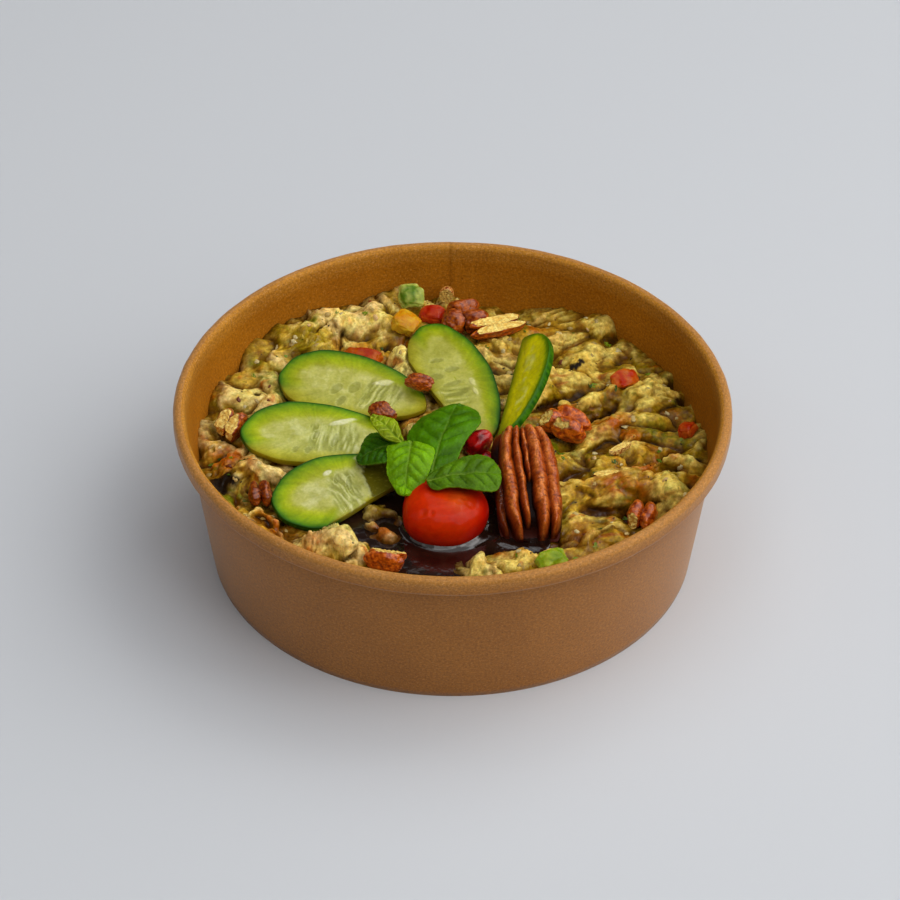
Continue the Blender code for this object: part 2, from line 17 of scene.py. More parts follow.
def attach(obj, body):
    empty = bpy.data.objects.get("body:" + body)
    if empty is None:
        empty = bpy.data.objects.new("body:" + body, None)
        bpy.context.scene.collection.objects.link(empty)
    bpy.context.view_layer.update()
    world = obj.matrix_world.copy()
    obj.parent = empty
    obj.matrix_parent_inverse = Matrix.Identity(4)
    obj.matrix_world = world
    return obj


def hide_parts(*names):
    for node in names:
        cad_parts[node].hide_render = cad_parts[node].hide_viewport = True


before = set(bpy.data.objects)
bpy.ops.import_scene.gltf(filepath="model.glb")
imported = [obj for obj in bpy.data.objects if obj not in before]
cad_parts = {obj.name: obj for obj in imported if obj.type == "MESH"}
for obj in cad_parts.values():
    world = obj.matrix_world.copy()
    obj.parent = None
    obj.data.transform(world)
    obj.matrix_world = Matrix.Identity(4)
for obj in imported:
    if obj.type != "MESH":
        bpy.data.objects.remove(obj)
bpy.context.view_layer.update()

MM = 0.001
BODY = "root"

# ---- sizes shared with the CAD ----------------------------------------------------------------
RIM_RADIUS = 75.0
BOWL_HEIGHT = 47.13
FOOT_RADIUS = 65.4
WALL_FLARE = 0.1524
BOARD = 0.5
ROLL_TOP_RADIUS = 1.65
ROLL_FOOT_RADIUS = 1.4
ROLL_FOOT_Z = 43.2
LIP_END = -140.0
HEM_HEIGHT = 4.4
HEM_WIDTH = 2.0
FLOOR_TOP = 5.2
GAP = 0.3
POOL_LEVEL = 29.8
POOL_DEPTH = 1.5
TOMATO_CENTRE = (-2.0, -30.2)
TOMATO_RADIUS = 11.45
TOMATO_HEIGHT = 11.2
SLICE_THICKNESS = 2.4
LEAF_THICKNESS = 0.45


# ---- numbers ----------------------------------------------------------------------------------
def srgb(red, green, blue):
    """Linear colour of a screen colour that is given from 0 to 255."""
    made = []
    for value in (red, green, blue):
        share = value / 255.0
        made.append(share / 12.92 if share <= 0.04045 else ((share + 0.055) / 1.055) ** 2.4)
    return tuple(made)


def ease(value, low, high):
    """0 below low, 1 above high, and a smooth step between them."""
    share = np.clip((value - low) / (high - low), 0.0, 1.0)
    return share * share * (3.0 - 2.0 * share)


def blend(first, second, share):
    """Mix two colours, or arrays of them, by a share for each point."""
    share = np.asarray(share)[..., None]
    return np.asarray(first) * (1.0 - share) + np.asarray(second) * share


SHUFFLE = np.random.default_rng(11).permutation(256)
SLOPES = np.random.default_rng(12).normal(size=(256, 3))
SLOPES /= np.linalg.norm(SLOPES, axis=1, keepdims=True)
CELL_POINTS = np.random.default_rng(13).random((256, 4))


def hashed(cells):
    """A number from 0 to 255 for each whole-numbered cell."""
    step = SHUFFLE[cells[:, 0] & 255]
    step = SHUFFLE[(step + cells[:, 1]) & 255]
    return SHUFFLE[(step + cells[:, 2]) & 255]


def smooth_noise(points, size, seed=0.0):
    """Noise of about -1 to 1 whose features are size millimetres wide."""
    scaled = points / np.asarray(size, dtype=float) + seed * 7.31
    cells = np.floor(scaled).astype(int)
    inside = scaled - cells
    fade = inside ** 3 * (inside * (inside * 6.0 - 15.0) + 10.0)
    total = np.zeros(len(points))
    for corner in itertools.product((0, 1), repeat=3):
        slopes = SLOPES[hashed(cells + np.array(corner))]
        reach = np.prod(np.where(corner, fade, 1.0 - fade), axis=1)
        total += reach * ((inside - corner) * slopes).sum(axis=1)
    return total * 1.7


def rough_noise(points, size, seed=0.0, layers=3):
    """Smooth noise with finer and weaker layers on top."""
    total = np.zeros(len(points))
    for layer in range(layers):
        finer = np.asarray(size, dtype=float) / 2.0 ** layer
        total += smooth_noise(points, finer, seed + layer) / 2.0 ** layer
    return total


def cell_noise(points, size, seed=0.0):
    """Distance to the nearest cell point, distance from the cell's border, and the cell's number."""
    scaled = points / np.asarray(size, dtype=float) + seed * 3.77
    cells = np.floor(scaled).astype(int)
    nearest = np.full(len(points), 9.0)
    second = np.full(len(points), 9.0)
    number = np.zeros(len(points))
    for offset in itertools.product((-1, 0, 1), repeat=3):
        corner = cells + np.array(offset)
        chosen = CELL_POINTS[hashed(corner)]
        gap = np.linalg.norm(scaled - corner - chosen[:, :3], axis=1)
        closer = gap < nearest
        second = np.where(closer, nearest, np.minimum(second, gap))
        number = np.where(closer, chosen[:, 3], number)
        nearest = np.where(closer, gap, nearest)
    return nearest, second - nearest, number


def spread(centre, points, reach):
    """1 at a centre, falling to 0 beyond its reach."""
    away = np.linalg.norm(points[:, :2] - np.array(centre), axis=1)
    return np.exp(-((away / reach) ** 2))


# ---- meshes -----------------------------------------------------------------------------------
def grid_faces(rows, columns, closed_rows=False):
    """Quads over rows of points that each close on themselves."""
    row = np.arange(rows if closed_rows else rows - 1)
    i, j = np.meshgrid(row, np.arange(columns), indexing="ij")
    after = (i + 1) % rows
    beside = (j + 1) % columns
    corners = [i * columns + j, i * columns + beside, after * columns + beside, after * columns + j]
    return np.stack(corners, axis=-1).reshape(-1, 4).tolist()


def tube(rings):
    """Points and faces of a row of closed rings whose two ends close on their middle points."""
    rows, columns = rings.shape[:2]
    faces = grid_faces(rows, columns)
    first, last = rows * columns, rows * columns + 1
    start = (rows - 1) * columns
    for j in range(columns):
        beside = (j + 1) % columns
        faces.append([beside, j, first])
        faces.append([start + j, start + beside, last])
    return with_ends(rings), faces


def with_ends(rings):
    """Flatten values held ring by ring and add the two end points' values."""
    flat = rings.reshape(-1, *rings.shape[2:])
    ends = np.stack([rings[0].mean(axis=0), rings[-1].mean(axis=0)])
    return np.concatenate([flat, ends])


def volume(points, faces):
    """Signed volume of a closed mesh."""
    total = 0.0
    for size in (3, 4):
        chosen = np.array([face for face in faces if len(face) == size])
        for k in range(size - 2 if len(chosen) else 0):
            a, b, c = points[chosen[:, 0]], points[chosen[:, k + 1]], points[chosen[:, k + 2]]
            total += (a * np.cross(b, c)).sum()
    return total


def piece(name, points, faces, paint, values=None, replaces=(), sharp=180.0):
    """A mesh object with named values for each point, riding on the bowl."""
    if volume(points, faces) < 0.0:
        faces = [face[::-1] for face in faces]
    mesh = bpy.data.meshes.new(name)
    mesh.from_pydata((points * MM).tolist(), [], faces)
    for label, data in (values or {}).items():
        if data.ndim == 2:
            layer = mesh.color_attributes.new(label, "FLOAT_COLOR", "POINT")
            filled = np.concatenate([data, np.ones((len(data), 1))], axis=1)
            layer.data.foreach_set("color", filled.astype(np.float32).ravel())
        else:
            layer = mesh.attributes.new(label, "FLOAT", "POINT")
            layer.data.foreach_set("value", data.astype(np.float32))
    mesh.materials.append(paint)
    mesh.shade_smooth()
    if sharp < 180.0:
        mesh.set_sharp_from_angle(angle=math.radians(sharp))
    made = bpy.data.objects.new(name, mesh)
    bpy.context.collection.objects.link(made)
    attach(made, BODY)
    if replaces:
        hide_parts(*replaces)
    return made


def joined(parts):
    """One list of points, faces and values out of many small closed meshes."""
    points, faces, values = [], [], {}
    count = 0
    for part_points, part_faces, part_values in parts:
        if volume(part_points, part_faces) < 0.0:
            part_faces = [face[::-1] for face in part_faces]
        points.append(part_points)
        faces += [[index + count for index in face] for face in part_faces]
        for label, data in part_values.items():
            values.setdefault(label, []).append(data)
        count += len(part_points)
    return np.concatenate(points), faces, {label: np.concatenate(v) for label, v in values.items()}


def turn(heading, pitch=0.0, roll=0.0):
    """Rotation that points X along the heading, lifts it by pitch and rolls about it."""
    level = Matrix.Rotation(math.radians(heading), 3, "Z")
    lift = Matrix.Rotation(math.radians(-pitch), 3, "Y")
    spin = Matrix.Rotation(math.radians(roll), 3, "X")
    return np.array(level @ lift @ spin)


def ball(rows, columns):
    """Unit directions in rings from one end of X to the other."""
    u = (np.arange(rows) + 0.5) / rows * math.pi
    v = np.arange(columns) / columns * math.tau
    u, v = np.meshgrid(u, v, indexing="ij")
    return np.stack([-np.cos(u), np.sin(u) * np.cos(v), np.sin(u) * np.sin(v)], axis=-1)


# ---- materials --------------------------------------------------------------------------------
class Paint:
    """A node material round one Principled shader, whose textures are sized in millimetres."""

    def __init__(self, name, settings):
        self.material = bpy.data.materials.new(name)
        self.material.use_nodes = True
        self.tree = self.material.node_tree
        self.shader = self.tree.nodes["Principled BSDF"]
        self.place = self.node("TexCoord").outputs["Object"]
        for socket, value in settings.items():
            self.feed(self.shader.inputs[socket], value)

    def feed(self, socket, value):
        """Link an output to a socket, or set the socket's own value."""
        if isinstance(value, bpy.types.NodeSocket):
            self.tree.links.new(value, socket)
        elif isinstance(value, tuple) and len(value) == 3 and len(socket.default_value) == 4:
            socket.default_value = (*value, 1.0)
        else:
            socket.default_value = value

    def node(self, kind, inputs=None, **settings):
        made = self.tree.nodes.new("ShaderNode" + kind)
        for name, value in settings.items():
            setattr(made, name, value)
        for socket, value in (inputs or {}).items():
            self.feed(made.inputs[socket], value)
        return made

    def noise(self, size, detail=2.0, roughness=0.5, stretch=(1.0, 1.0, 1.0), place=None, shift=0.0):
        """Noise of 0 to 1 with features as wide as size, made longer along an axis by stretch."""
        scale = tuple(1.0 / (size * MM * share) for share in stretch)
        inputs = {"Vector": place or self.place, "Scale": scale, "Location": (shift, shift, shift)}
        placed = self.node("Mapping", inputs).outputs["Vector"]
        inputs = {"Vector": placed, "Scale": 1.0, "Detail": detail, "Roughness": roughness}
        return self.node("TexNoise", inputs).outputs["Fac"]

    def cells(self, size, place=None):
        """Distance of 0 to 1 from the middles of soft cells as wide as size."""
        inputs = {"Vector": place or self.place, "Scale": 1.0 / (size * MM), "Smoothness": 0.3}
        return self.node("TexVoronoi", inputs, feature="SMOOTH_F1").outputs["Distance"]

    def value(self, name):
        return self.node("Attribute", attribute_name=name).outputs["Fac"]

    def colour(self, name):
        return self.node("Attribute", attribute_name=name).outputs["Color"]

    def span(self, value, low, high, start=0.0, stop=1.0):
        """Map low..high to start..stop and hold the ends."""
        inputs = {"Value": value, "From Min": low, "From Max": high, "To Min": start, "To Max": stop}
        return self.node("MapRange", inputs).outputs["Result"]

    def mix(self, share, first, second, mode="MIX"):
        made = self.node("Mix", data_type="RGBA", blend_type=mode)
        self.feed(made.inputs[0], share)
        self.feed(made.inputs[6], first)
        self.feed(made.inputs[7], second)
        return made.outputs[2]

    def math(self, operation, first, second):
        made = self.node("Math", operation=operation)
        self.feed(made.inputs[0], first)
        self.feed(made.inputs[1], second)
        return made.outputs[0]

    def tinted(self, base, share, low, high):
        """Multiply a colour by one that runs from low to high."""
        return self.mix(1.0, base, self.mix(share, low, high), "MULTIPLY")

    def bump(self, height, depth):
        """Bend the shading by a height of 0 to 1 that stands for a depth in millimetres."""
        made = self.node("Bump", {"Height": height, "Strength": 1.0, "Distance": depth * MM})
        self.feed(self.shader.inputs["Normal"], made.outputs["Normal"])

    def set(self, socket, value):
        self.feed(self.shader.inputs[socket], value)


def kraft_paint(name, light, dark, fleck, roughness, upright, shine, sheen, rim):
    """Kraft board: brown pulp with short fibres lying every way, flecks, and a paler rim."""
    paint = Paint(name, {
        "Specular IOR Level": shine,
        "Sheen Weight": sheen,
        "Sheen Roughness": 0.45,
        "Sheen Tint": (1.0, 0.88, 0.76),
    })
    around = paint.node("UVMap", uv_map="board").outputs["UV"]
    cloud = paint.noise(16.0, 3.0, place=around)
    pulp = paint.noise(0.75, 4.0, 0.72, place=around)
    lying = paint.noise(0.36, 2.0, 0.6, (3.0, 1.0, 1.0), around)
    standing = paint.noise(0.36, 2.0, 0.6, (1.0, upright, 1.0), around, 5.0)
    fibre = paint.math("MAXIMUM", lying, standing)
    base = paint.mix(paint.span(cloud, 0.3, 0.7), dark, light)
    base = paint.tinted(base, paint.span(pulp, 0.30, 0.70), (0.62, 0.60, 0.56), (1.36, 1.38, 1.42))
    base = paint.mix(paint.span(fibre, 0.58, 0.78, 0.0, 0.8), base, fleck)
    specks = paint.noise(0.55, 1.0, 0.5, place=around, shift=9.0)
    base = paint.mix(paint.span(specks, 0.34, 0.22, 0.0, 0.6), base, (0.06, 0.022, 0.006))
    level = paint.node("SeparateXYZ", {"Vector": paint.place}).outputs["Z"]
    low, high, tint = rim
    base = paint.tinted(base, paint.span(level, low * MM, high * MM), (1.0, 1.0, 1.0), tint)
    paint.set("Base Color", base)
    paint.set("Roughness", paint.span(pulp, 0.3, 0.7, roughness - 0.06, roughness + 0.08))
    height = paint.math("ADD", paint.math("MULTIPLY", pulp, 0.6), paint.math("MULTIPLY", fibre, 0.6))
    paint.bump(height, 0.05)
    return paint.material


def dip_paint():
    """Mashed aubergine: the mesh carries its colour and wetness, the nodes add the fine mash."""
    paint = Paint("aubergine_dip", {
        "Subsurface Weight": 0.08,
        "Subsurface Radius": (1.0, 0.6, 0.12),
        "Subsurface Scale": 0.0010,
        "Coat Roughness": 0.06,
        "Specular IOR Level": 0.08,
    })
    mash = paint.noise(1.2, 5.0, 0.62)
    hue = paint.noise(2.6, 3.0, 0.6, shift=7.0)
    grain = paint.noise(0.34, 3.0, 0.6, shift=3.0)
    drift = paint.node("TexNoise", {"Vector": paint.place, "Scale": 700.0, "Detail": 2.0}).outputs["Color"]
    moved = paint.node("VectorMath", {0: drift, 1: (0.0016, 0.0016, 0.0016)}, operation="MULTIPLY").outputs[0]
    moved = paint.node("VectorMath", {0: paint.place, 1: moved}, operation="ADD").outputs[0]
    pulp = paint.cells(1.25, moved)
    base = paint.tinted(paint.colour("paint"), paint.span(mash, 0.32, 0.68), (0.60, 0.54, 0.36), (1.26, 1.26, 1.22))
    # darker at the pulp cells' edges, where the bump sinks, and lighter at their middles: partly the pulp's own tone,
    # partly painted crease shade and painted light
    base = paint.tinted(base, paint.span(pulp, 0.66, 0.24), (0.86, 0.83, 0.72), (1.07, 1.07, 1.07))
    base = paint.tinted(base, paint.span(hue, 0.32, 0.68), (1.08, 0.97, 0.72), (0.94, 1.03, 1.06))
    base = paint.mix(paint.span(grain, 0.30, 0.18, 0.0, 0.5), base, (0.10, 0.05, 0.008))
    paint.set("Base Color", base)
    wet = paint.value("wet")
    dull = paint.span(wet, 0.0, 1.0, 0.60, 0.22)
    paint.set("Roughness", paint.math("ADD", dull, paint.span(mash, 0.3, 0.7, -0.06, 0.08)))
    film = paint.span(paint.noise(1.6, 3.0, 0.6, shift=11.0), 0.46, 0.64, 0.10, 1.0)
    paint.set("Coat Weight", paint.math("MULTIPLY", paint.span(wet, 0.25, 1.0, 0.0, 0.8), film))
    height = paint.math("ADD", mash, paint.math("MULTIPLY", grain, 0.35))
    height = paint.math("SUBTRACT", height, paint.math("MULTIPLY", pulp, 0.45))
    paint.bump(height, 0.20)
    return paint.material


def molasses_paint():
    """Pomegranate molasses: near-black, thick and mirror-smooth."""
    paint = Paint("molasses", {
        "Roughness": 0.10,
        "Specular IOR Level": 0.35,
        "Coat Weight": 0.8,
        "Coat Roughness": 0.07,
        "Coat IOR": 1.55,
    })
    cloud = paint.noise(6.0, 2.0)
    paint.bump(paint.noise(3.4, 2.0, 0.5, shift=2.0), 0.30)
    paint.set("Base Color", paint.mix(paint.span(cloud, 0.35, 0.7), (0.008, 0.003, 0.002), (0.026, 0.010, 0.006)))
    return paint.material


def wet_paint(name, settings, size, low, high, roughness, bump, detail=3.0):
    """Moist food coloured by the mesh, whose `wet` value says how glossy its film is."""
    paint = Paint(name, settings)
    mottle = paint.noise(size, detail, 0.6)
    paint.set("Base Color", paint.tinted(paint.colour("paint"), paint.span(mottle, 0.3, 0.7), low, high))
    paint.set("Roughness", paint.span(mottle, 0.3, 0.7, roughness, roughness + 0.14))
    paint.set("Coat Weight", paint.span(paint.value("wet"), 0.0, 1.0, 0.0, 0.9))
    paint.bump(mottle, bump)
    return paint.material


def cucumber_paint():
    settings = {"Subsurface Weight": 0.25, "Subsurface Radius": (1.0, 1.0, 0.25), "Subsurface Scale": 0.0010,
                "Coat Roughness": 0.09, "Specular IOR Level": 0.12}
    return wet_paint("cucumber", settings, 0.7, (0.86, 0.89, 0.72), (1.10, 1.08, 1.14), 0.34, 0.07)


def mint_paint():
    settings = {"Subsurface Weight": 0.15, "Subsurface Radius": (0.5, 1.0, 0.1), "Subsurface Scale": 0.0005,
                "Coat Roughness": 0.22, "Specular IOR Level": 0.05}
    return wet_paint("mint", settings, 0.5, (0.84, 0.88, 0.70), (1.14, 1.10, 1.12), 0.40, 0.05)


def pecan_paint():
    settings = {"Coat Roughness": 0.11, "Specular IOR Level": 0.12}
    return wet_paint("pecan", settings, 0.6, (0.70, 0.60, 0.46), (1.26, 1.28, 1.26), 0.36, 0.12, 4.0)


def glossy_paint(name, radius, depth_scale, roughness=0.22, bump=0.04, size=0.9):
    """Wet vegetable skin or flesh, coloured by the mesh."""
    settings = {"Subsurface Weight": 0.25, "Subsurface Radius": radius, "Subsurface Scale": depth_scale,
                "Coat Roughness": 0.09, "Specular IOR Level": 0.05}
    return wet_paint(name, settings, size, (0.88, 0.84, 0.80), (1.10, 1.12, 1.14), roughness, bump)


def dry_paint(name, roughness=0.55):
    """Crumbs, flakes and seeds, coloured by the mesh."""
    settings = {"Coat Roughness": 0.15, "Specular IOR Level": 0.2}
    return wet_paint(name, settings, 0.35, (0.76, 0.74, 0.68), (1.18, 1.18, 1.18), roughness, 0.06)


# ---- bowl -------------------------------------------------------------------------------------
SEAM_START, SEAM_END = 85.6, 90.6      # the board's glued overlap, in degrees round the bowl
SEAM_STEP = 0.30


def wall_outside(height):
    return FOOT_RADIUS + WALL_FLARE * height


def wall_inside(height):
    return wall_outside(height) - BOARD


def arc(centre, radius, start, stop, steps):
    """Points of a (radius, height) arc, both ends included, in degrees."""
    angles = np.radians(np.linspace(start, stop, steps + 1))
    return [(centre[0] + radius * math.cos(a), centre[1] + radius * math.sin(a)) for a in angles]


def stretch_line(start, stop, steps):
    """Points of a straight (radius, height) line without its two ends."""
    shares = np.linspace(0.0, 1.0, steps + 1)[1:-1]
    return [(start[0] + (stop[0] - start[0]) * s, start[1] + (stop[1] - start[1]) * s) for s in shares]


def wall_profile():
    """Closed (radius, height) outline of the wall, and how much of each point is the coated inside."""
    top_centre = (RIM_RADIUS - ROLL_TOP_RADIUS, BOWL_HEIGHT - ROLL_TOP_RADIUS)
    foot_centre = (RIM_RADIUS - ROLL_FOOT_RADIUS, ROLL_FOOT_Z)
    foot = (FOOT_RADIUS, 0.0)
    inner_roll = arc(top_centre, ROLL_TOP_RADIUS - BOARD, 180, 0, 14)
    inner_roll += arc(foot_centre, ROLL_FOOT_RADIUS - BOARD, 0, LIP_END, 10)
    outer_roll = arc(foot_centre, ROLL_FOOT_RADIUS, LIP_END, 0, 12)
    outer_roll += arc(top_centre, ROLL_TOP_RADIUS, 0, 180, 18)
    hem_inside = FOOT_RADIUS - HEM_WIDTH
    pocket = (wall_inside(BOARD), BOARD)
    hem = [
        pocket,
        (hem_inside + BOARD + WALL_FLARE * BOARD, BOARD),
        (hem_inside + BOARD + WALL_FLARE * HEM_HEIGHT, HEM_HEIGHT),
        (hem_inside + WALL_FLARE * HEM_HEIGHT, HEM_HEIGHT),
        (hem_inside, 0.0),
    ]
    outside = [foot] + stretch_line(foot, inner_roll[0], 26) + inner_roll
    inside = outer_roll + stretch_line(outer_roll[-1], pocket, 26) + hem
    return outside, inside


def bowl_wall(outside_paint, inside_paint):
    """One sheet of board: folded hem, leaning wall, rim rolled outwards, glued seam at the back."""
    outside, inside = wall_profile()
    profile = np.array(outside + inside)
    steps = np.linalg.norm(np.diff(profile, axis=0, append=profile[:1]), axis=1)
    along = np.concatenate([[0.0], np.cumsum(steps)])
    angles = list(np.arange(0.0, 360.0, 1.0))
    for edge in (SEAM_START, SEAM_END):
        angles += [edge - 0.12, edge + 0.12]
    angles = np.radians(sorted(angles))
    columns, rows = len(angles), len(profile)
    radius = np.repeat(profile[None, :, 0], columns, axis=0)
    height = np.repeat(profile[None, :, 1], columns, axis=0)
    ring = np.stack([np.cos(angles), np.sin(angles)], axis=1)
    spots = np.concatenate([
        (ring[:, None, :] * 70.0).repeat(rows, axis=1),
        height[:, :, None],
    ], axis=2).reshape(-1, 3)
    wave = smooth_noise(spots, (34.0, 34.0, 30.0), 1).reshape(columns, rows)
    crinkle = smooth_noise(spots, (5.0, 5.0, 9.0), 2).reshape(columns, rows)
    above_foot = ease(height, 1.0, 12.0)
    in_roll = ease(height, 40.0, 42.5)
    radius += above_foot * (0.13 * wave * (1.0 - in_roll) + 0.10 * crinkle * in_roll)
    height += in_roll * 0.09 * smooth_noise(spots * (1, 1, 0), 16.0, 3).reshape(columns, rows)
    degrees = np.degrees(angles)
    overlap = ease(degrees, SEAM_START - 0.1, SEAM_START + 0.1) * ease(-degrees, -SEAM_END - 0.1, -SEAM_END + 0.1)
    is_inside = np.arange(rows) >= len(outside) + 13
    is_inside &= profile[:, 1] > 1.0
    is_inside &= profile[:, 0] > wall_inside(0.0) + 0.1
    radius -= SEAM_STEP * overlap[:, None] * is_inside[None, :]
    rim = (np.arange(rows) >= len(outside)) & (profile[:, 1] > 41.0)
    height += 0.16 * overlap[:, None] * rim[None, :]
    x, y = radius * ring[:, None, 0], radius * ring[:, None, 1]
    points = np.stack([x, y, height], axis=2).reshape(-1, 3)
    faces = []
    uvs = []
    split = len(outside) + 24
    around = np.append(angles, angles[0] + math.tau) * 70.0
    coated = []
    for i in range(columns):
        for j in range(rows):
            k, m = (i + 1) % columns, (j + 1) % rows
            faces.append([i * rows + j, k * rows + j, k * rows + m, i * rows + m])
            low, high = along[j], along[j + 1]
            left, right = around[i], around[i + 1]
            uvs += [(left, low), (right, low), (right, high), (left, high)]
            coated.append(split <= j < rows - 5)
    uvs = np.array(uvs).reshape(-1, 4, 2)
    if volume(points, faces) < 0.0:
        faces = [face[::-1] for face in faces]
        uvs = uvs[:, ::-1]
    made = piece("bowl_board", points, faces, outside_paint, replaces=["bowl_wall"])
    made.data.materials.append(inside_paint)
    made.data.polygons.foreach_set("material_index", np.array(coated, dtype=np.int32))
    layer = made.data.uv_layers.new(name="board")
    layer.data.foreach_set("uv", (uvs * MM).astype(np.float32).ravel())
    return made


def bowl_floor(paint):
    """Recessed disc whose skirt hangs in the pocket between wall and hem."""
    pocket_inside = FOOT_RADIUS - HEM_WIDTH + BOARD
    skirt_inside = pocket_inside + GAP
    skirt_outside = wall_inside(0.0) - GAP
    skirt_foot = BOARD + GAP
    underside = FLOOR_TOP - BOARD
    profile = [
        (8.0, underside), (24.0, underside), (44.0, underside),
        (skirt_inside + WALL_FLARE * underside, underside),
        (skirt_inside + WALL_FLARE * skirt_foot, skirt_foot),
        (skirt_outside + WALL_FLARE * skirt_foot, skirt_foot),
        (skirt_outside + WALL_FLARE * FLOOR_TOP, FLOOR_TOP),
        (40.0, FLOOR_TOP), (10.0, FLOOR_TOP),
    ]
    turns = np.arange(180) * math.tau / 180
    rings = np.array([[(r * math.cos(a), r * math.sin(a), z) for a in turns] for r, z in profile])
    points, faces = tube(rings)
    made = piece("bowl_disc", points, faces, paint, replaces=["bowl_base"], sharp=40.0)
    layer = made.data.uv_layers.new(name="board")
    corners = np.array([made.data.vertices[loop.vertex_index].co[:2] for loop in made.data.loops])
    layer.data.foreach_set("uv", corners.astype(np.float32).ravel())
    return made


# ---- cucumber ---------------------------------------------------------------------------------
# centre, length, width, heading, slope to the front, slope to the side, taper, buried side,
# side that shows its skin in degrees from the slice's own long axis
CUCUMBER_SLICES = {
    "cucumber_slice_1": ((-27.2, 22.6, 34.4), 42.0, 22.5, 163.0, 0.20, 0.0, 0.22, 0.0, -70.0),
    "cucumber_slice_2": ((-36.3, 3.2, 33.4), 42.0, 21.0, 178.0, 0.20, -0.03, 0.22, 0.0, -70.0),
    "cucumber_slice_3": ((-28.0, -20.6, 33.7), 41.0, 23.0, 199.0, 0.22, 0.0, 0.25, 0.55, -25.0),
    "cucumber_slice_4": ((0.6, 24.2, 35.8), 47.0, 21.2, 110.0, 0.14, 0.0, 0.05, 0.40, -65.0),
}
LEANING_SLICE = {"foot": (13.2, 1.4, 33.8), "head": (20.4, 40.0, 38.4), "bulge": 12.0, "lean": 40.0}
# Of each slice's core, in millimetres along and across it: the field of fibres (start, stop, left,
# right, slant, pitch), the seeds and the painted wet glints (along, across, half length, half width,
# heading) and the place from which its flesh is torn away.
CUCUMBER_CORES = {
    "cucumber_slice_1": ((-13.4, -3.0, -4.2, 7.4, 0.18, 1.3),
                         [(4.1, 2.4, 2.4, 1.3, 68), (-0.5, 0.4, 2.5, 1.5, 72), (1.6, 6.2, 2.0, 1.2, 80)],
                         [(-7.4, -3.6, 2.8, 0.9, 24)], None),
    "cucumber_slice_2": ((-11.6, 2.6, -3.0, 6.8, 0.14, 1.5),
                         [(5.9, 6.4, 1.2, 0.8, 60), (2.4, 6.5, 1.3, 0.8, 75), (-4.6, 2.6, 2.6, 0.9, 78),
                          (0.6, 1.0, 1.8, 0.9, 70)],
                         [(-6.4, -4.0, 3.6, 0.9, 20)], None),
    "cucumber_slice_3": ((-3.2, 5.0, -5.0, 8.6, -0.28, 1.3),
                         [(-1.0, -1.2, 2.6, 0.9, 70), (1.8, -3.6, 2.0, 0.8, 60)],
                         [(3.6, -6.2, 1.3, 0.7, 20)], -6.0),
    "cucumber_slice_4": ((-10.4, -2.6, -2.2, 6.4, 0.10, 1.5),
                         [(8.0, 2.4, 2.2, 0.9, 86), (3.7, -0.4, 2.2, 1.1, 88), (2.3, 4.7, 2.3, 1.4, 94),
                          (-1.4, 1.4, 3.0, 1.0, 96)],
                         [(-2.6, -4.2, 1.5, 0.7, 4), (-6.2, -3.7, 1.5, 0.6, 4)], None),
    "cucumber_slice_5": ((0.0, 0.0, 0.0, 0.0, 0.0, 1.0), [], [], None),
}
# how much darker and yellower each slice's flesh is than the palest one's
SLICE_TONES = {
    "cucumber_slice_1": (0.90, 0.88, 0.66),
    "cucumber_slice_2": (0.98, 0.99, 0.90),
    "cucumber_slice_3": (1.0, 1.0, 1.0),
    "cucumber_slice_4": (0.80, 0.78, 0.46),
    "cucumber_slice_5": (1.12, 1.14, 0.7),
}
SLICE_COLUMNS = 220
SLICE_RINGS = 66
FLESH = srgb(200, 200, 112)
SEED_GREEN = srgb(128, 132, 46)
FIBRE_PALE = srgb(222, 222, 158)
FIBRE_DARK = srgb(138, 140, 44)
GLINT = srgb(240, 238, 200)
TORN_OLIVE = srgb(118, 110, 16)
SKIN = srgb(26, 78, 2)
SKIN_STREAK = srgb(66, 120, 6)
# colours from the edge inwards, in millimetres: below the skin, and where the skin is hidden
RIND = [(0.0, srgb(24, 66, 0)), (0.3, srgb(34, 84, 0)), (0.7, srgb(76, 128, 1)), (1.6, srgb(126, 162, 3)),
        (3.4, srgb(164, 182, 10)), (4.8, srgb(180, 188, 40)), (5.8, srgb(190, 194, 84)), (7.0, FLESH)]
BARE_EDGE = [(0.0, srgb(150, 138, 18)), (0.9, srgb(178, 172, 40)), (2.6, srgb(196, 194, 78)), (4.5, FLESH)]
LEANING_RIND = [(0.0, srgb(44, 96, 3)), (0.8, srgb(110, 140, 4)), (1.6, srgb(184, 182, 8)), (3.4, srgb(212, 202, 14))]
LEANING_EDGE = [(0.0, srgb(86, 100, 4)), (1.6, srgb(160, 156, 6)), (3.6, srgb(208, 196, 12))]


def ramp(value, stops):
    """Colours read from a list of (place, colour) stops."""
    places = [place for place, _ in stops]
    shades = np.array([shade for _, shade in stops])
    return np.stack([np.interp(value, places, shades[:, k]) for k in range(3)], axis=-1)


def oval(x, y, placed):
    """1 inside an oval that lies at (x, y) with two half sizes and a heading, 0 well outside it."""
    cx, cy, half_length, half_width, heading = placed
    angle = math.radians(heading)
    along = (x - cx) * math.cos(angle) + (y - cy) * math.sin(angle)
    across = (y - cy) * math.cos(angle) - (x - cx) * math.sin(angle)
    return ease(-np.hypot(along / half_length, across / half_width), -1.25, -0.70)


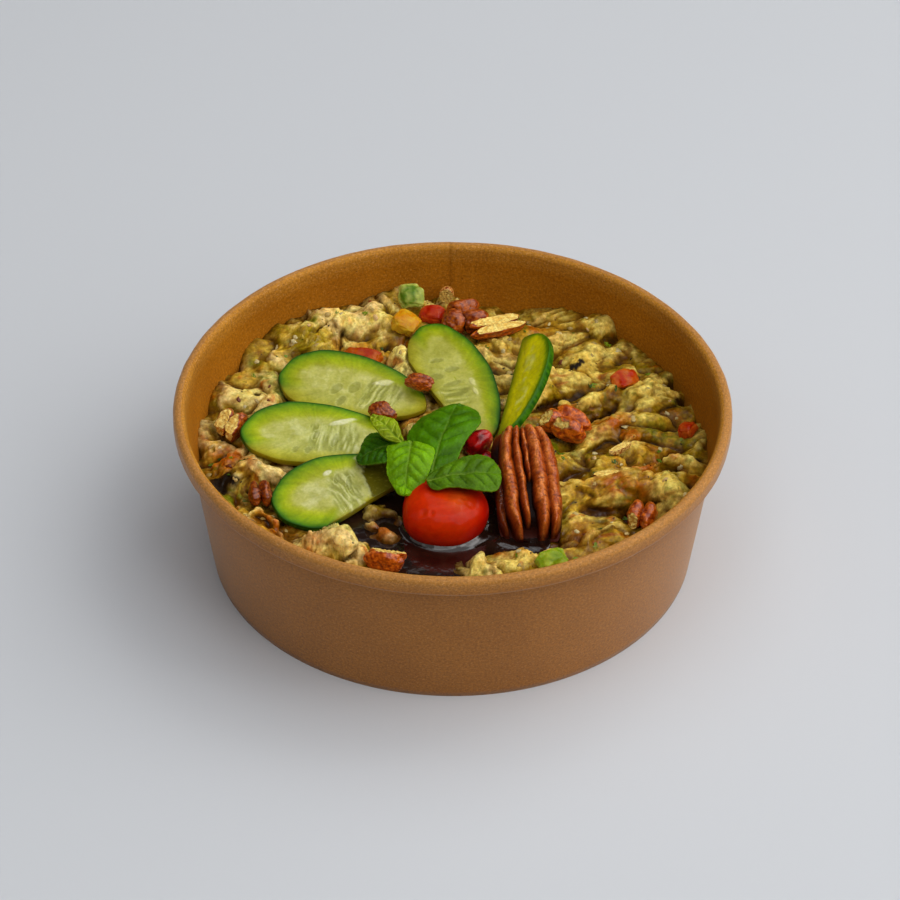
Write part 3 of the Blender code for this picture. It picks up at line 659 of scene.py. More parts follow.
def slice_core(x, y, flat, core):
    """Shares of fibre field, pale fibre, seed and painted glint over a slice's face."""
    (start, stop, left, right, slant, pitch), seed_places, glint_places, _ = core
    frayed = 0.9 * smooth_noise(flat, 2.4, 4).reshape(x.shape)
    field = ease(x + frayed, start - 0.6, start + 1.2) * ease(-(x + frayed), -stop - 0.6, -stop + 1.2)
    field = field * ease(y + frayed, left - 0.8, left + 1.4) * ease(-(y + frayed), -right - 0.8, -right + 1.4)
    field = field * (stop > start)
    sway = 0.35 * smooth_noise(flat, 3.6, 6).reshape(x.shape)
    strand = np.stack([x - slant * y + sway, 0.16 * y, flat[:, 2].reshape(x.shape)], axis=-1).reshape(-1, 3)
    comb = ease(rough_noise(strand, 0.62 * pitch, 5, 2).reshape(x.shape), -0.55, 0.75)
    seed = np.zeros_like(x)
    for placed in seed_places:
        seed = np.maximum(seed, oval(x + 0.3 * frayed, y, placed))
    glint = np.zeros_like(x)
    for placed in glint_places:
        glint = np.maximum(glint, oval(x, y + 0.3 * frayed, placed))
    return field, comb, seed, glint


def slice_rings(outline, size, skin_share, number, core, bands, warp):
    """Rings from the underside's middle round the skin to the top's middle, with their colours."""
    half = SLICE_THICKNESS / 2
    under = [(0.05, -half), (0.5, -half), (0.85, -half), (0.95, -half)]
    side = [(0.975, -half * 0.8), (0.99, -half * 0.45), (1.0, 0.0), (1.0, half * 0.35), (0.996, half * 0.75)]
    top = [(0.988 - 0.968 * (k / (SLICE_RINGS - 1)) ** 1.25, half) for k in range(SLICE_RINGS)]
    levels = np.array(under + side + top)
    scale = levels[:, 0][:, None]
    z = np.repeat(levels[:, 1][:, None], outline.shape[0], axis=1)
    x = scale * outline[None, :, 0]
    y = scale * outline[None, :, 1]
    shape = x.shape
    level = np.arange(len(levels))[:, None] * np.ones((1, shape[1]))
    on_top = level >= len(under) + 4
    on_side = (level >= len(under)) & (level < len(under) + 4)
    flat = np.stack([x, y, np.full_like(x, number * 9.0)], axis=-1).reshape(-1, 3)
    length, width = size
    steep = np.hypot(x / (0.5 * length) ** 2, y / (0.5 * width) ** 2)
    inward = (1.0 - scale) * scale / np.maximum(steep, 0.004)
    around = np.arctan2(outline[:, 1], outline[:, 0]) * 11.0
    spoke = np.stack([around, np.zeros_like(around), np.full_like(around, number * 5.0)], axis=1)
    inward = inward + 0.30 * smooth_noise(spoke, 0.8, 9)[None, :] * ease(inward, 0.1, 1.0)
    inward = inward + 0.45 * rough_noise(flat, 3.0, 12).reshape(shape) * ease(inward, 0.8, 3.0)
    skinned = ease(skin_share[None, :] * np.ones(shape), 0.05, 0.75)
    colour = blend(ramp(inward, bands[1]), ramp(inward, bands[0]), skinned)
    cloud = ease(rough_noise(flat, 5.0, 10).reshape(shape), -0.6, 0.8)
    colour = colour * blend(np.full((*shape, 3), (0.86, 0.86, 0.72)), (1.08, 1.07, 1.24), cloud)
    ray = smooth_noise(spoke, 0.55, 17)[None, :] + 0.6 * smooth_noise(spoke, 1.4, 18)[None, :]
    colour = colour * (1.0 + 0.13 * ray * ease(inward, 0.6, 2.0) * ease(-inward, -9.0, -4.0))[..., None]
    pulp_cloud = ease(rough_noise(flat, 3.2, 19).reshape(shape), -0.2, 0.9) * ease(inward, 4.5, 7.0)
    colour = blend(colour, srgb(226, 226, 170), 0.50 * pulp_cloud)
    shade_cloud = ease(-rough_noise(flat, 3.8, 21).reshape(shape), 0.0, 0.9) * ease(inward, 2.5, 5.0)
    colour = blend(colour, srgb(150, 150, 52), 0.35 * shade_cloud)
    field, comb, seed, glint = slice_core(x, y, flat, core)
    pulp = ease(inward, 4.6, 6.6)
    left, right = core[0][2], core[0][3]
    # the pale fibres are painted stronger and the dark ones weaker towards the field's right edge: partly the fibres'
    # own look, partly painted highlight
    toward = ease(y, left, right)
    colour = blend(colour, srgb(176, 180, 90), 0.6 * field)
    colour = blend(colour, FIBRE_PALE, 0.95 * field * ease(comb, 0.45, 0.95) * (0.45 + 0.55 * toward))
    colour = blend(colour, FIBRE_DARK, 0.75 * field * ease(-comb, -0.45, -0.05) * (1.0 - 0.3 * toward))
    colour = blend(colour, srgb(214, 216, 150), 0.5 * ease(seed, 0.02, 0.4) * ease(-seed, -0.75, -0.35))
    colour = blend(colour, SEED_GREEN, 0.5 * ease(seed, 0.35, 0.95) * (0.75 + 0.25 * cloud))
    # painted highlight: pale wet glints over raised, wetter patches of the flesh
    colour = blend(colour, GLINT, 0.75 * glint)
    relief = 0.10 * rough_noise(flat, 2.2, 8).reshape(shape) * ease(inward, 0.3, 2.0)
    relief = relief - 0.20 * pulp * field + 0.22 * field * comb - 0.18 * seed + 0.20 * glint
    wet = 0.08 + 0.35 * field + 0.5 * glint + 0.25 * seed
    torn_from = core[3]
    if torn_from is not None:
        ragged = 1.3 * rough_noise(flat, 3.2, 14).reshape(shape)
        torn = ease(-(x + ragged), -torn_from - 0.3, -torn_from + 0.3)
        lip = np.exp(-((x + ragged - torn_from - 0.5) / 0.5) ** 2)
        relief = relief - 0.9 * torn * ease(inward, 0.2, 1.2)
        colour = blend(colour, srgb(196, 196, 140), 0.7 * lip * ease(inward, 0.8, 2.0))
        speckle = ease(rough_noise(flat, 0.8, 15).reshape(shape), 0.3, 0.9)
        stripped = blend(np.broadcast_to(TORN_OLIVE, (*shape, 3)), srgb(176, 170, 70), 0.6 * speckle)
        colour = blend(colour, stripped, torn)
        wet = wet + 0.4 * torn
    z = z + np.where(on_top, relief, 0.0)
    streaks = ease(smooth_noise(flat, (0.9, 0.9, 1.0), 11).reshape(shape), -0.5, 0.8)
    skin = blend(np.broadcast_to(SKIN, (*shape, 3)), SKIN_STREAK, streaks)
    skin = blend(ramp(np.zeros(shape), bands[1]), skin, ease(skinned, 0.0, 0.3))
    colour = np.where(on_side[..., None], skin, colour)
    wet = np.where(on_side, 0.06, wet)
    return warp(x, y, z), colour, np.clip(wet, 0.0, 1.0)


def add_slice(name, outline, size, skin_share, number, bands, warp, paint):
    rings, colour, wet = slice_rings(outline, size, skin_share, number, CUCUMBER_CORES[name], bands, warp)
    colour = colour * np.array(SLICE_TONES[name])
    points, faces = tube(rings)
    values = {"paint": with_ends(colour), "wet": with_ends(wet)}
    return piece(name + "_cut", points, faces, paint, values, [name])


def cucumber_slice(name, number, paint):
    """Long slanting slice: an oval that narrows to one end, bent a little over what it lies on."""
    centre, length, width, heading, to_front, to_side, taper, buried, skin_side = CUCUMBER_SLICES[name]
    angle = np.arange(SLICE_COLUMNS) * math.tau / SLICE_COLUMNS
    along = np.cos(angle)
    across = np.sin(angle) * (1.0 + taper * along)
    hidden = 1.0 - buried * np.clip(0.45 - along, 0.0, 1.0) ** 0.7
    across = np.where(across > 0.0, across * hidden, across)
    wobble = 1.0 + 0.008 * np.sin(5.0 * angle + number) + 0.006 * np.sin(11.0 * angle + 2.0 * number)
    outline = np.stack([0.5 * length * along, 0.5 * width * across], axis=1) * wobble[:, None]
    skin_share = ease(np.cos(angle - math.radians(skin_side)), -0.45, 0.35)
    normal = Vector((-to_side, -to_front, 1.0)).normalized()
    level_axis = Vector((math.cos(math.radians(heading)), math.sin(math.radians(heading)), 0.0))
    long_axis = (level_axis - normal * level_axis.dot(normal)).normalized()
    cross_axis = normal.cross(long_axis)
    axes = np.array([long_axis, cross_axis, normal])

    def warp(x, y, z):
        sag = 0.9 * (2.0 * x / length) ** 2
        ripple = 0.25 * np.sin(x * 0.16 + number * 2.0) * np.cos(y * 0.2)
        return np.array(centre) + np.stack([x, y, z - sag + ripple], axis=-1) @ axes

    return add_slice(name, outline, (length, width), skin_share, number, (RIND, BARE_EDGE), warp, paint)


def leaning_slice(name, number, paint):
    """Slice that stands in the dip on one long side, its skin leaning up and to the right."""
    foot, head = Vector(LEANING_SLICE["foot"]), Vector(LEANING_SLICE["head"])
    long_axis = (head - foot).normalized()
    half = (head - foot).length / 2
    lean = math.radians(LEANING_SLICE["lean"])
    rise = Vector((math.cos(lean), 0.0, math.sin(lean)))
    rise = (rise - long_axis * rise.dot(long_axis)).normalized()
    normal = rise.cross(long_axis)
    if normal.z < 0.0:
        normal.negate()
    bulge = LEANING_SLICE["bulge"]
    chord_points = 60
    angle = np.linspace(0.0, math.pi, SLICE_COLUMNS - chord_points)
    fullness = 1.0 + 0.16 * np.cos(angle)
    bow = np.stack([half * np.cos(angle), bulge * (fullness * np.sin(angle) ** 0.9 - 0.42)], axis=1)
    share = np.arange(1, chord_points + 1) / (chord_points + 1.0)
    chord = np.stack([half * (2.0 * share - 1.0), np.full(chord_points, -0.47 * bulge)], axis=1)
    outline = np.concatenate([bow, chord])
    skin_share = np.concatenate([ease(np.sin(angle), 0.02, 0.25), np.zeros(chord_points)])
    axes = np.array([long_axis, rise, normal])
    middle = np.array((foot + head) / 2) + np.array(rise) * 0.42 * bulge

    def warp(x, y, z):
        return middle + np.stack([x, y, z], axis=-1) @ axes

    bands = (LEANING_RIND, LEANING_EDGE)
    return add_slice(name, outline, (2.0 * half, 1.1 * bulge), skin_share, number, bands, warp, paint)


# ---- mint -------------------------------------------------------------------------------------
# base, tip, arch across the leaf, sag of the tip, roll, colour, colour of the veins
MINT_LEAVES = {
    "mint_leaf_1": ((-13.4, -10.2, 44.6), (-21.3, -1.3, 45.8), 0.8, 0.4, 0.0,
                    srgb(128, 148, 14), srgb(186, 198, 70)),
    "mint_leaf_2": ((-15.2, -9.2, 41.0), (-25.6, -12.2, 39.4), 1.2, 0.8, 8.0,
                    srgb(54, 100, 5), srgb(40, 80, 4)),
    "mint_leaf_3": ((-5.4, -22.4, 40.6), (1.2, 4.0, 45.4), 2.0, 1.6, -9.0,
                    srgb(72, 120, 2), srgb(42, 82, 1)),
    "mint_leaf_4": ((-11.2, -11.0, 44.0), (-13.1, -27.2, 40.4), 1.4, 0.6, 3.0,
                    srgb(108, 156, 3), srgb(78, 124, 2)),
    "mint_leaf_5": ((-5.6, -25.6, 43.6), (13.2, -23.6, 44.4), 1.2, 0.6, 6.0,
                    srgb(80, 118, 8), srgb(48, 84, 4)),
}
# where each blade starts and stops along its rib, how far its rib lies to the left, and its
# half widths to either side of the rib at even steps, all in millimetres but the first two
LEAF_OUTLINES = {
    "mint_leaf_1": (-0.20, 0.86, -2.0, (0.0, 1.8, 3.0, 3.3, 3.1, 2.7, 2.3, 1.5, 0.0),
                    (0.0, 1.3, 2.2, 3.0, 3.6, 3.7, 3.2, 2.2, 0.0)),
    "mint_leaf_2": (-0.10, 1.06, -1.6, (0.0, 5.0, 6.8, 7.4, 7.7, 7.2, 5.8, 3.9, 0.0),
                    (0.0, 5.2, 7.4, 8.6, 9.0, 8.0, 6.0, 2.8, 0.0)),
    "mint_leaf_3": (-0.06, 0.99, 0.0, (0.0, 4.0, 7.4, 9.6, 10.6, 10.0, 8.4, 6.6, 0.0),
                    (0.0, 4.4, 5.8, 6.1, 6.8, 8.0, 8.7, 7.2, 0.0)),
    "mint_leaf_4": (0.10, 1.16, -0.6, (0.0, 6.6, 6.7, 6.5, 6.1, 5.7, 5.0, 3.4, 0.0),
                    (0.0, 6.8, 6.3, 5.9, 5.8, 5.5, 4.4, 2.8, 0.0)),
    "mint_leaf_5": (-0.08, 0.97, 2.6, (0.0, 3.4, 4.8, 5.4, 6.6, 7.1, 7.5, 6.8, 0.0),
                    (0.0, 3.8, 3.9, 4.2, 5.0, 5.9, 6.4, 6.3, 0.0)),
}
STEM_FOOT = (-7.2, -24.2, 39.8)
STEM_TOP = (-12.8, -8.4, 40.2)
STEM_RADIUS = 0.75
STEM_SAG = 2.6


def leaf_edge(share, widths):
    """Half width of a blade along its rib, smooth between the listed steps and round at its ends."""
    steps = np.linspace(0.0, 1.0, len(widths))
    filled = np.array(widths, dtype=float)
    filled[0], filled[-1] = 0.86 * filled[1], 0.86 * filled[-2]
    line = np.linspace(0.0, 1.0, 161)
    level = np.interp(line, steps, filled)
    level = np.convolve(np.pad(level, 12, mode="edge"), np.hanning(25) / np.hanning(25).sum(), "valid")
    ends = np.clip(share * (1.0 - share) * 7.2, 0.0, 1.0)
    return np.interp(share, line, level) * np.sqrt(1.0 - (1.0 - ends) ** 2)


def mint_leaf(name, number, paint):
    """Arched leaf with a finely toothed edge and thin sunken veins that curve to its tip."""
    base, tip, arch, sag, roll, colour, vein_colour = MINT_LEAVES[name]
    start, stop, shift, left, right = LEAF_OUTLINES[name]
    base, tip = Vector(base), Vector(tip)
    along = (tip - base).normalized()
    side = along.cross(Vector((0.0, 0.0, 1.0))).normalized()
    side = Matrix.Rotation(math.radians(roll), 3, along) @ side
    up = side.cross(along)
    length = (tip - base).length
    rows, columns = 120, 61
    share = 0.5 - 0.5 * np.cos(math.pi * (0.02 + 0.96 * np.arange(rows) / (rows - 1)))
    share, v = np.meshgrid(share, np.linspace(-1.0, 1.0, columns), indexing="ij")
    u = start + (stop - start) * share
    half = np.where(v < 0.0, leaf_edge(share, left), leaf_edge(share, right))
    teeth = 1.0 - 0.028 * (1.0 - (u * length / 1.9) % 1.0) * ease(np.abs(v), 0.7, 1.0)
    across = v * half * teeth
    flat = np.stack([u * length, across, np.full_like(u, number * 20.0)], axis=-1).reshape(-1, 3)
    bend = smooth_noise(flat, 6.0, 1).reshape(u.shape)
    pitch = 0.185 * (stop - start) * length
    away = np.abs(across + 0.25 * bend)
    lateral = (u * length - 0.42 * away - 0.035 * away ** 2 + 0.9 * bend + 0.3 * np.sign(v)) / pitch
    from_vein = np.abs(lateral - np.round(lateral)) * pitch
    rib = np.exp(-(((across + 0.25 * bend) / (0.34 - 0.22 * share)) ** 2))
    reach = ease(-np.abs(v), -0.96, -0.55)
    vein = np.exp(-((from_vein / 0.17) ** 2)) * ease(np.abs(v), 0.02, 0.10) * reach
    puff = ease(from_vein, 0.0, 0.42 * pitch) * ease(np.abs(v), 0.0, 0.25) * reach
    _, net_edge, _ = cell_noise(flat + 0.3 * bend.reshape(-1, 1), 1.5, number)
    net = ease(net_edge, 0.0, 0.22).reshape(u.shape)
    relief = 0.36 * puff - 0.30 * rib - 0.20 * vein + 0.13 * net
    relief += 0.45 * smooth_noise(flat, 7.0, 2).reshape(u.shape)
    relief += 0.26 * smooth_noise(flat, 2.6, 7).reshape(u.shape)
    crest = arch * np.sin(math.pi * np.clip(u, 0.0, 1.0)) - sag * u * u
    flare = np.clip(half / max(max(left), max(right)), 0.0, 1.0)
    fall = flare * (arch * 0.9 * v * v - 0.35 * np.abs(v))
    middle = np.array(base) + u[..., None] * length * np.array(along)
    top = middle + (across + shift)[..., None] * np.array(side)
    lift = (crest - fall)[..., None] * np.array(up)
    upper = top + lift + relief[..., None] * np.array(up)
    lower = top + lift - (LEAF_THICKNESS - 0.6 * relief)[..., None] * np.array(up)
    rings = np.concatenate([upper, lower[:, ::-1]], axis=1)
    green = np.broadcast_to(colour, (*u.shape, 3))
    shade = ease(rough_noise(flat, 5.0, 5).reshape(u.shape), -0.8, 0.9)
    green = green * (0.74 + 0.50 * shade)[..., None]
    blotch = ease(rough_noise(flat, 1.8, 8).reshape(u.shape), -0.8, 0.8)
    # the puffed blade between the veins is painted lighter and the sunken veins take the vein colour, darker on most
    # leaves: partly their own colour, partly painted light and painted shade
    green = green * (0.84 + 0.14 * puff + 0.08 * net + 0.14 * blotch)[..., None]
    green = blend(green, vein_colour, 0.75 * vein)
    green = blend(green, srgb(136, 168, 56), 0.62 * rib * (1.0 - 0.8 * share))
    green = blend(green, np.array(colour) * 1.7, 0.55 * ease(np.abs(v), 0.955, 0.995))
    pale = blend(green, srgb(134, 158, 60), np.full(u.shape, 0.55))
    paints = np.concatenate([green, pale[:, ::-1]], axis=1)
    points, faces = tube(rings)
    values = {"paint": with_ends(paints), "wet": np.full(len(points), 0.13)}
    return piece(name + "_blade", points, faces, paint, values, [name])


def mint_stem(paint):
    """Short square-ish stem that the leaves of the sprig grow from."""
    foot, top = np.array(STEM_FOOT), np.array(STEM_TOP)
    along = (top - foot) / np.linalg.norm(top - foot)
    side = np.cross(along, (0.0, 0.0, 1.0))
    side /= np.linalg.norm(side)
    up = np.cross(side, along)
    u = np.linspace(0.0, 1.0, 40)[:, None]
    turns = np.arange(20)[None, :] * math.tau / 20
    radius = STEM_RADIUS * (0.86 + 0.10 * np.cos(4.0 * turns)) * np.ones_like(u)
    line = foot + (top - foot) * u - up * STEM_SAG * np.sin(math.pi * u)
    around = side * np.cos(turns)[..., None] + up * np.sin(turns)[..., None]
    rings = line[:, None, :] + around * radius[..., None]
    points, faces = tube(rings)
    shade = np.broadcast_to(srgb(96, 120, 14), points.shape).copy()
    values = {"paint": shade, "wet": np.full(len(points), 0.2)}
    return piece("mint_sprig_stem", points, faces, paint, values, ["mint_stem"])


# ---- tomato and pomegranate -------------------------------------------------------------------
# small dents of the skin from the tomato's middle: x, y, reach, depth
TOMATO_DENTS = [(-5.6, -7.0, 0.9, 0.30), (-3.4, -7.6, 0.7, 0.26), (6.6, -4.4, 0.9, 0.26), (5.2, -6.0, 0.6, 0.2),
                (1.6, -1.6, 1.8, 0.25), (3.6, -4.0, 0.8, 0.16), (5.0, -2.4, 0.7, 0.16)]
TOMATO_BELLY = 4.6          # height of the widest part over the pool


def tomato_half(paint):
    """Small tomato in the pool: broad flat shoulders, full belly, slightly slack and dented skin."""
    foot = POOL_LEVEL - POOL_DEPTH
    belly = POOL_LEVEL + TOMATO_BELLY
    crown = POOL_LEVEL + TOMATO_HEIGHT
    rows, columns = 80, 120
    share = np.arange(rows) / (rows - 1)
    above = np.clip((share - 0.3) / 0.7, 0.0, 1.0)
    below = np.clip((0.3 - share) / 0.3, 0.0, 1.0)
    angle = 0.5 * math.pi * 0.995 * above
    level = belly + (crown - belly) * np.sin(angle) ** 0.92 - (belly - foot) * below
    reach = np.cos(angle) ** 0.70 * (1.0 - 0.17 * below ** 2.2)
    turns = (np.arange(columns) * math.tau / columns)[None, :]
    lobed = 1.0 + 0.012 * np.cos(3.0 * turns + 0.8) + 0.008 * np.cos(5.0 * turns)
    radius = TOMATO_RADIUS * reach[:, None] * lobed
    height = level[:, None] * np.ones_like(turns)
    x, y = radius * np.cos(turns), radius * np.sin(turns)
    spots = np.stack([x, y, height], axis=-1).reshape(-1, 3)
    slack = 0.30 * smooth_noise(spots, 9.0, 3)
    for dent_x, dent_y, wide, depth in TOMATO_DENTS:
        away = np.hypot(spots[:, 0] - dent_x, spots[:, 1] - dent_y) / wide
        slack -= depth * np.exp(-away ** 2) - 0.35 * depth * np.exp(-((away - 1.5) / 0.6) ** 2)
    slack = slack.reshape(rows, columns) * ease(share[:, None], 0.05, 0.3)
    out = np.stack([x / TOMATO_RADIUS, y / TOMATO_RADIUS, np.sin(angle)[:, None] * np.ones_like(x)], axis=-1)
    rings = np.stack([x, y, height], axis=-1) + out * slack[..., None]
    rings += np.array([*TOMATO_CENTRE, 0.0])
    points, faces = tube(rings)
    local = points - np.array([*TOMATO_CENTRE, 0.0])
    warm = ease(rough_noise(local, 8.0, 6, 2) - 0.05 * local[:, 0], -0.8, 0.9)
    colour = blend(np.broadcast_to(srgb(190, 18, 0), points.shape), srgb(212, 48, 0), warm)
    # painted highlight: a paler orange gleam on the upper right shoulder, towards the front
    gleam = np.exp(-((local[:, 0] - 3.4) / 3.2) ** 2 - ((local[:, 1] + 3.2) / 4.4) ** 2) * (points[:, 2] > belly)
    colour = blend(colour, srgb(224, 96, 26), 0.55 * gleam)
    # painted shade: darker red towards the bottom, down into the pool
    colour = blend(colour, srgb(140, 14, 1), ease(-points[:, 2], -(belly + 1.0), -foot) * 0.75)
    values = {"paint": colour, "wet": np.full(len(points), 0.20)}
    return piece("tomato_flesh", points, faces, paint, values, ["tomato_half"])


# name: centre, radius, length, heading, pitch
ARILS = {
    "pomegranate_aril_1": ((6.9, -6.8, 39.0), 3.7, 8.8, 35, 20),
    "pomegranate_aril_2": ((9.6, -12.6, 37.2), 2.9, 6.6, 70, -10),
}


def pomegranate_aril(name, number, paint):
    """Juicy seed: a rounded body with soft facets that narrows to its paler end."""
    centre, radius, length, heading, pitch = ARILS[name]
    way = ball(48, 52)
    u = 0.5 + 0.5 * way[..., 0]
    girth = radius * (1.0 - 0.22 * u)
    facets = 0.07 * np.cos(5.0 * np.arctan2(way[..., 2], way[..., 1]) + number)
    flat = way.reshape(-1, 3) * 4.0 + number * 9.0
    facets = facets + 0.07 * smooth_noise(flat, 2.2, 1).reshape(u.shape)
    local = np.stack([
        0.5 * length * way[..., 0],
        girth * (1.0 + facets) * way[..., 1],
        girth * (1.0 + facets) * way[..., 2],
    ], axis=-1)
    rings = np.array(centre) + local @ turn(heading, pitch).T
    points, faces = tube(rings)
    mottle = with_ends(ease(rough_noise(flat, 2.4, 3).reshape(u.shape), -0.6, 0.7))
    colour = blend(np.broadcast_to(srgb(104, 2, 6), points.shape), srgb(190, 22, 20), mottle)
    colour = blend(colour, srgb(214, 66, 60), with_ends(ease(u, 0.6, 1.0)) * 0.5)
    values = {"paint": colour, "wet": np.full(len(points), 0.9)}
    return piece(name + "_juicy", points, faces, paint, values, [name])


# ---- pecans -----------------------------------------------------------------------------------
PECAN_HALF = {"foot": (21.2, -38.0, 30.6), "head": (18.0, -6.2, 42.8), "width": 17.4, "height": 7.6}
# lobes of the kernel's back: places across it at its foot, middle and head, half width, where the
# lobe starts and stops along the kernel, and how high it stands
PECAN_LOBES = [
    (-7.2, -7.3, -6.6, 1.30, 0.05, 0.66, 0.50),
    (-3.7, -4.7, -4.7, 2.15, 0.00, 0.985, 1.02),
    (-0.4, -1.5, -1.9, 1.30, 0.11, 0.985, 0.94),
    (1.3, 0.7, 0.2, 0.85, 0.48, 0.97, 0.88),
    (3.3, 3.3, 2.3, 2.15, 0.01, 0.99, 1.03),
    (6.6, 6.7, 5.4, 2.15, 0.03, 0.965, 0.97),
]
# skin, lobe tops painted lighter (partly paler ridges, partly painted highlight), gaps painted near black (partly dark
# skin, partly painted shade) and broken flesh
PECAN_SKIN = srgb(172, 76, 16)
PECAN_LIT_RIDGE = srgb(224, 128, 54)
PECAN_GROOVE_SHADE = srgb(30, 5, 1)
PECAN_FLESH = srgb(252, 232, 140)
# broken bits that have sunk into the mash
BURIED_PIECES = ("pecan_piece_6", "pecan_piece_9", "pecan_piece_10", "pecan_piece_12")


def lobe_place(u, foot, middle, head):
    """Line across the kernel through three places along it."""
    return foot * (1.0 - u) * (1.0 - 2.0 * u) + 4.0 * middle * u * (1.0 - u) + head * u * (2.0 * u - 1.0)


def pecan_half(paint):
    """Half a kernel, rounded side up: wrinkled lobes that taper to their ends over gaps painted near black, partly
    dark skin and partly painted shade.
    """
    foot, head = np.array(PECAN_HALF["foot"]), np.array(PECAN_HALF["head"])
    width, height = PECAN_HALF["width"], PECAN_HALF["height"]
    length = np.linalg.norm(head - foot)
    along = (head - foot) / length
    side = np.cross(along, (0.0, 0.0, 1.0))
    side /= np.linalg.norm(side)
    up = np.cross(side, along)
    rows, columns = 210, 240
    u = (0.004 + 0.992 * np.arange(rows) / (rows - 1))[:, None] * np.ones((1, columns))
    angle = (math.pi * np.arange(columns) / (columns - 1))[None, :] * np.ones((rows, 1))
    across = -np.cos(angle) * 0.5 * width
    flat = np.stack([across, u * length, np.zeros_like(u)], axis=-1).reshape(-1, 3)
    sway = 0.42 * smooth_noise(flat, (7.0, 8.0, 60.0), 1).reshape(u.shape)
    sway += 0.20 * smooth_noise(flat, (3.0, 2.8, 60.0), 2).reshape(u.shape)
    knots = smooth_noise(flat, (2.2, 3.0, 9.0), 3).reshape(u.shape)
    wrinkle = rough_noise(flat, (2.6, 1.0, 9.0), 4).reshape(u.shape)
    folds = 1.0 - np.exp(-4.0 * np.abs(smooth_noise(flat, (2.4, 2.2, 9.0), 6))).reshape(u.shape)
    fine = rough_noise(flat, (0.7, 1.2, 9.0), 8).reshape(u.shape)
    outline = np.clip(1.0 - np.abs(2.0 * u - 0.94) ** 4.5, 0.0, 1.0) ** 0.5
    crown = np.sqrt(np.clip(1.0 - (across / (0.5 * width)) ** 2, 0.0, 1.0)) * outline
    cap = ease(u, 0.78, 0.96)
    sunk = 1.7 * ease(-u, -0.34, 0.0)
    bed = height * crown * (0.36 + 0.50 * cap) * ease(u, 0.02, 0.20) - sunk
    lift = bed.copy()
    lobe_share = np.zeros_like(u)
    edge_share = np.zeros_like(u)
    for first, middle, last, half, start, stop, tall in PECAN_LOBES:
        place = lobe_place(u, first, middle, last)
        to_foot = np.clip((u - start) / 0.22, 0.0, 1.0) ** 0.6
        to_head = np.clip((stop - u) / 0.22, 0.0, 1.0)
        reach = half * (0.46 + 0.54 * to_foot) * (0.84 + 0.16 * to_head) * (1.0 + 0.13 * knots)
        off = (across + sway - place) / reach
        round_top = np.clip(1.0 - np.abs(off) ** 2.1, 0.0, 1.0) ** 0.56
        ends = np.clip(np.minimum((u - start) / 0.055, (stop - u) / 0.030), 0.0, 1.0)
        ends = np.sqrt(1.0 - (1.0 - ends) ** 2)
        swell = np.sqrt(np.clip(1.0 - (place / (0.56 * width)) ** 2, 0.0, 1.0))
        swell = height * tall * (0.34 + 0.66 * swell) * (0.58 + 0.42 * outline)
        level = bed + (swell - bed) * round_top * ends
        edge_share = np.where(level > lift, np.abs(off), edge_share)
        lobe_share = np.where(level > lift, round_top * ends, lobe_share)
        lift = np.maximum(lift, level)
    lift = lift + lobe_share * (0.20 * wrinkle + 0.22 * knots + 0.20 * (folds - 0.8) + 0.07 * fine)
    lift = np.maximum(lift, 0.15 - sunk)
    reach = across * (0.55 + 0.45 * outline)
    line = foot + along * (length * u)[..., None]
    upper = line + side * reach[..., None] + up * lift[..., None]
    bottom = np.linspace(0.90, -0.90, 24)[None, :] * 0.5 * width * (0.55 + 0.45 * outline[:, :1])
    lower = foot + along * (length * u[:, :1])[..., None] + side * bottom[..., None]
    rings = np.concatenate([upper, lower + up * (0.1 - sunk[:, :1])[..., None]], axis=1)
    # the lobes' tops are painted lighter, partly their paler ridges and partly painted highlight; their flanks,
    # wrinkles and folds darker as painted shade; the gaps between them near black, partly dark skin and partly painted
    # shade
    bright = ease(rough_noise(flat, (1.6, 4.0, 9.0), 5).reshape(u.shape), -0.6, 0.7)
    colour = np.broadcast_to(PECAN_SKIN, (*u.shape, 3))
    colour = blend(colour, PECAN_LIT_RIDGE, bright * ease(-edge_share, -0.75, -0.2))
    colour = blend(colour, srgb(92, 26, 4), 0.70 * ease(-wrinkle, 0.2, 0.9))
    colour = blend(colour, srgb(80, 20, 3), 0.45 * ease(-folds, -0.35, -0.02))
    colour = blend(colour, srgb(60, 14, 2), 0.70 * ease(edge_share, 0.62, 0.98))
    between = blend(PECAN_GROOVE_SHADE * np.ones((*u.shape, 3)), srgb(120, 46, 8), cap)
    colour = blend(between, colour, ease(lobe_share, 0.10, 0.50))
    shaded = ease(-across, 5.6, 7.4) * ease(-u, -0.75, -0.55)
    colour = blend(colour, srgb(76, 22, 6), 0.7 * shaded)
    soaked = ease(-upper[..., 2], -(POOL_LEVEL + 3.2), -(POOL_LEVEL + 0.6))
    colour = blend(colour, srgb(84, 22, 3), 0.6 * soaked)
    # the underside, which lies on the mash, takes the near-black groove colour as painted shade
    paints = np.concatenate([colour, np.broadcast_to(PECAN_GROOVE_SHADE, (rows, 24, 3))], axis=1)
    film = (0.50 + 0.3 * soaked) * ease(lobe_share, 0.3, 0.8)
    wet = np.concatenate([film, np.zeros((rows, 24))], axis=1)
    points, faces = tube(rings)
    values = {"paint": with_ends(paints), "wet": with_ends(wet)}
    return piece("pecan_kernel", points, faces, paint, values, ["pecan_half"])


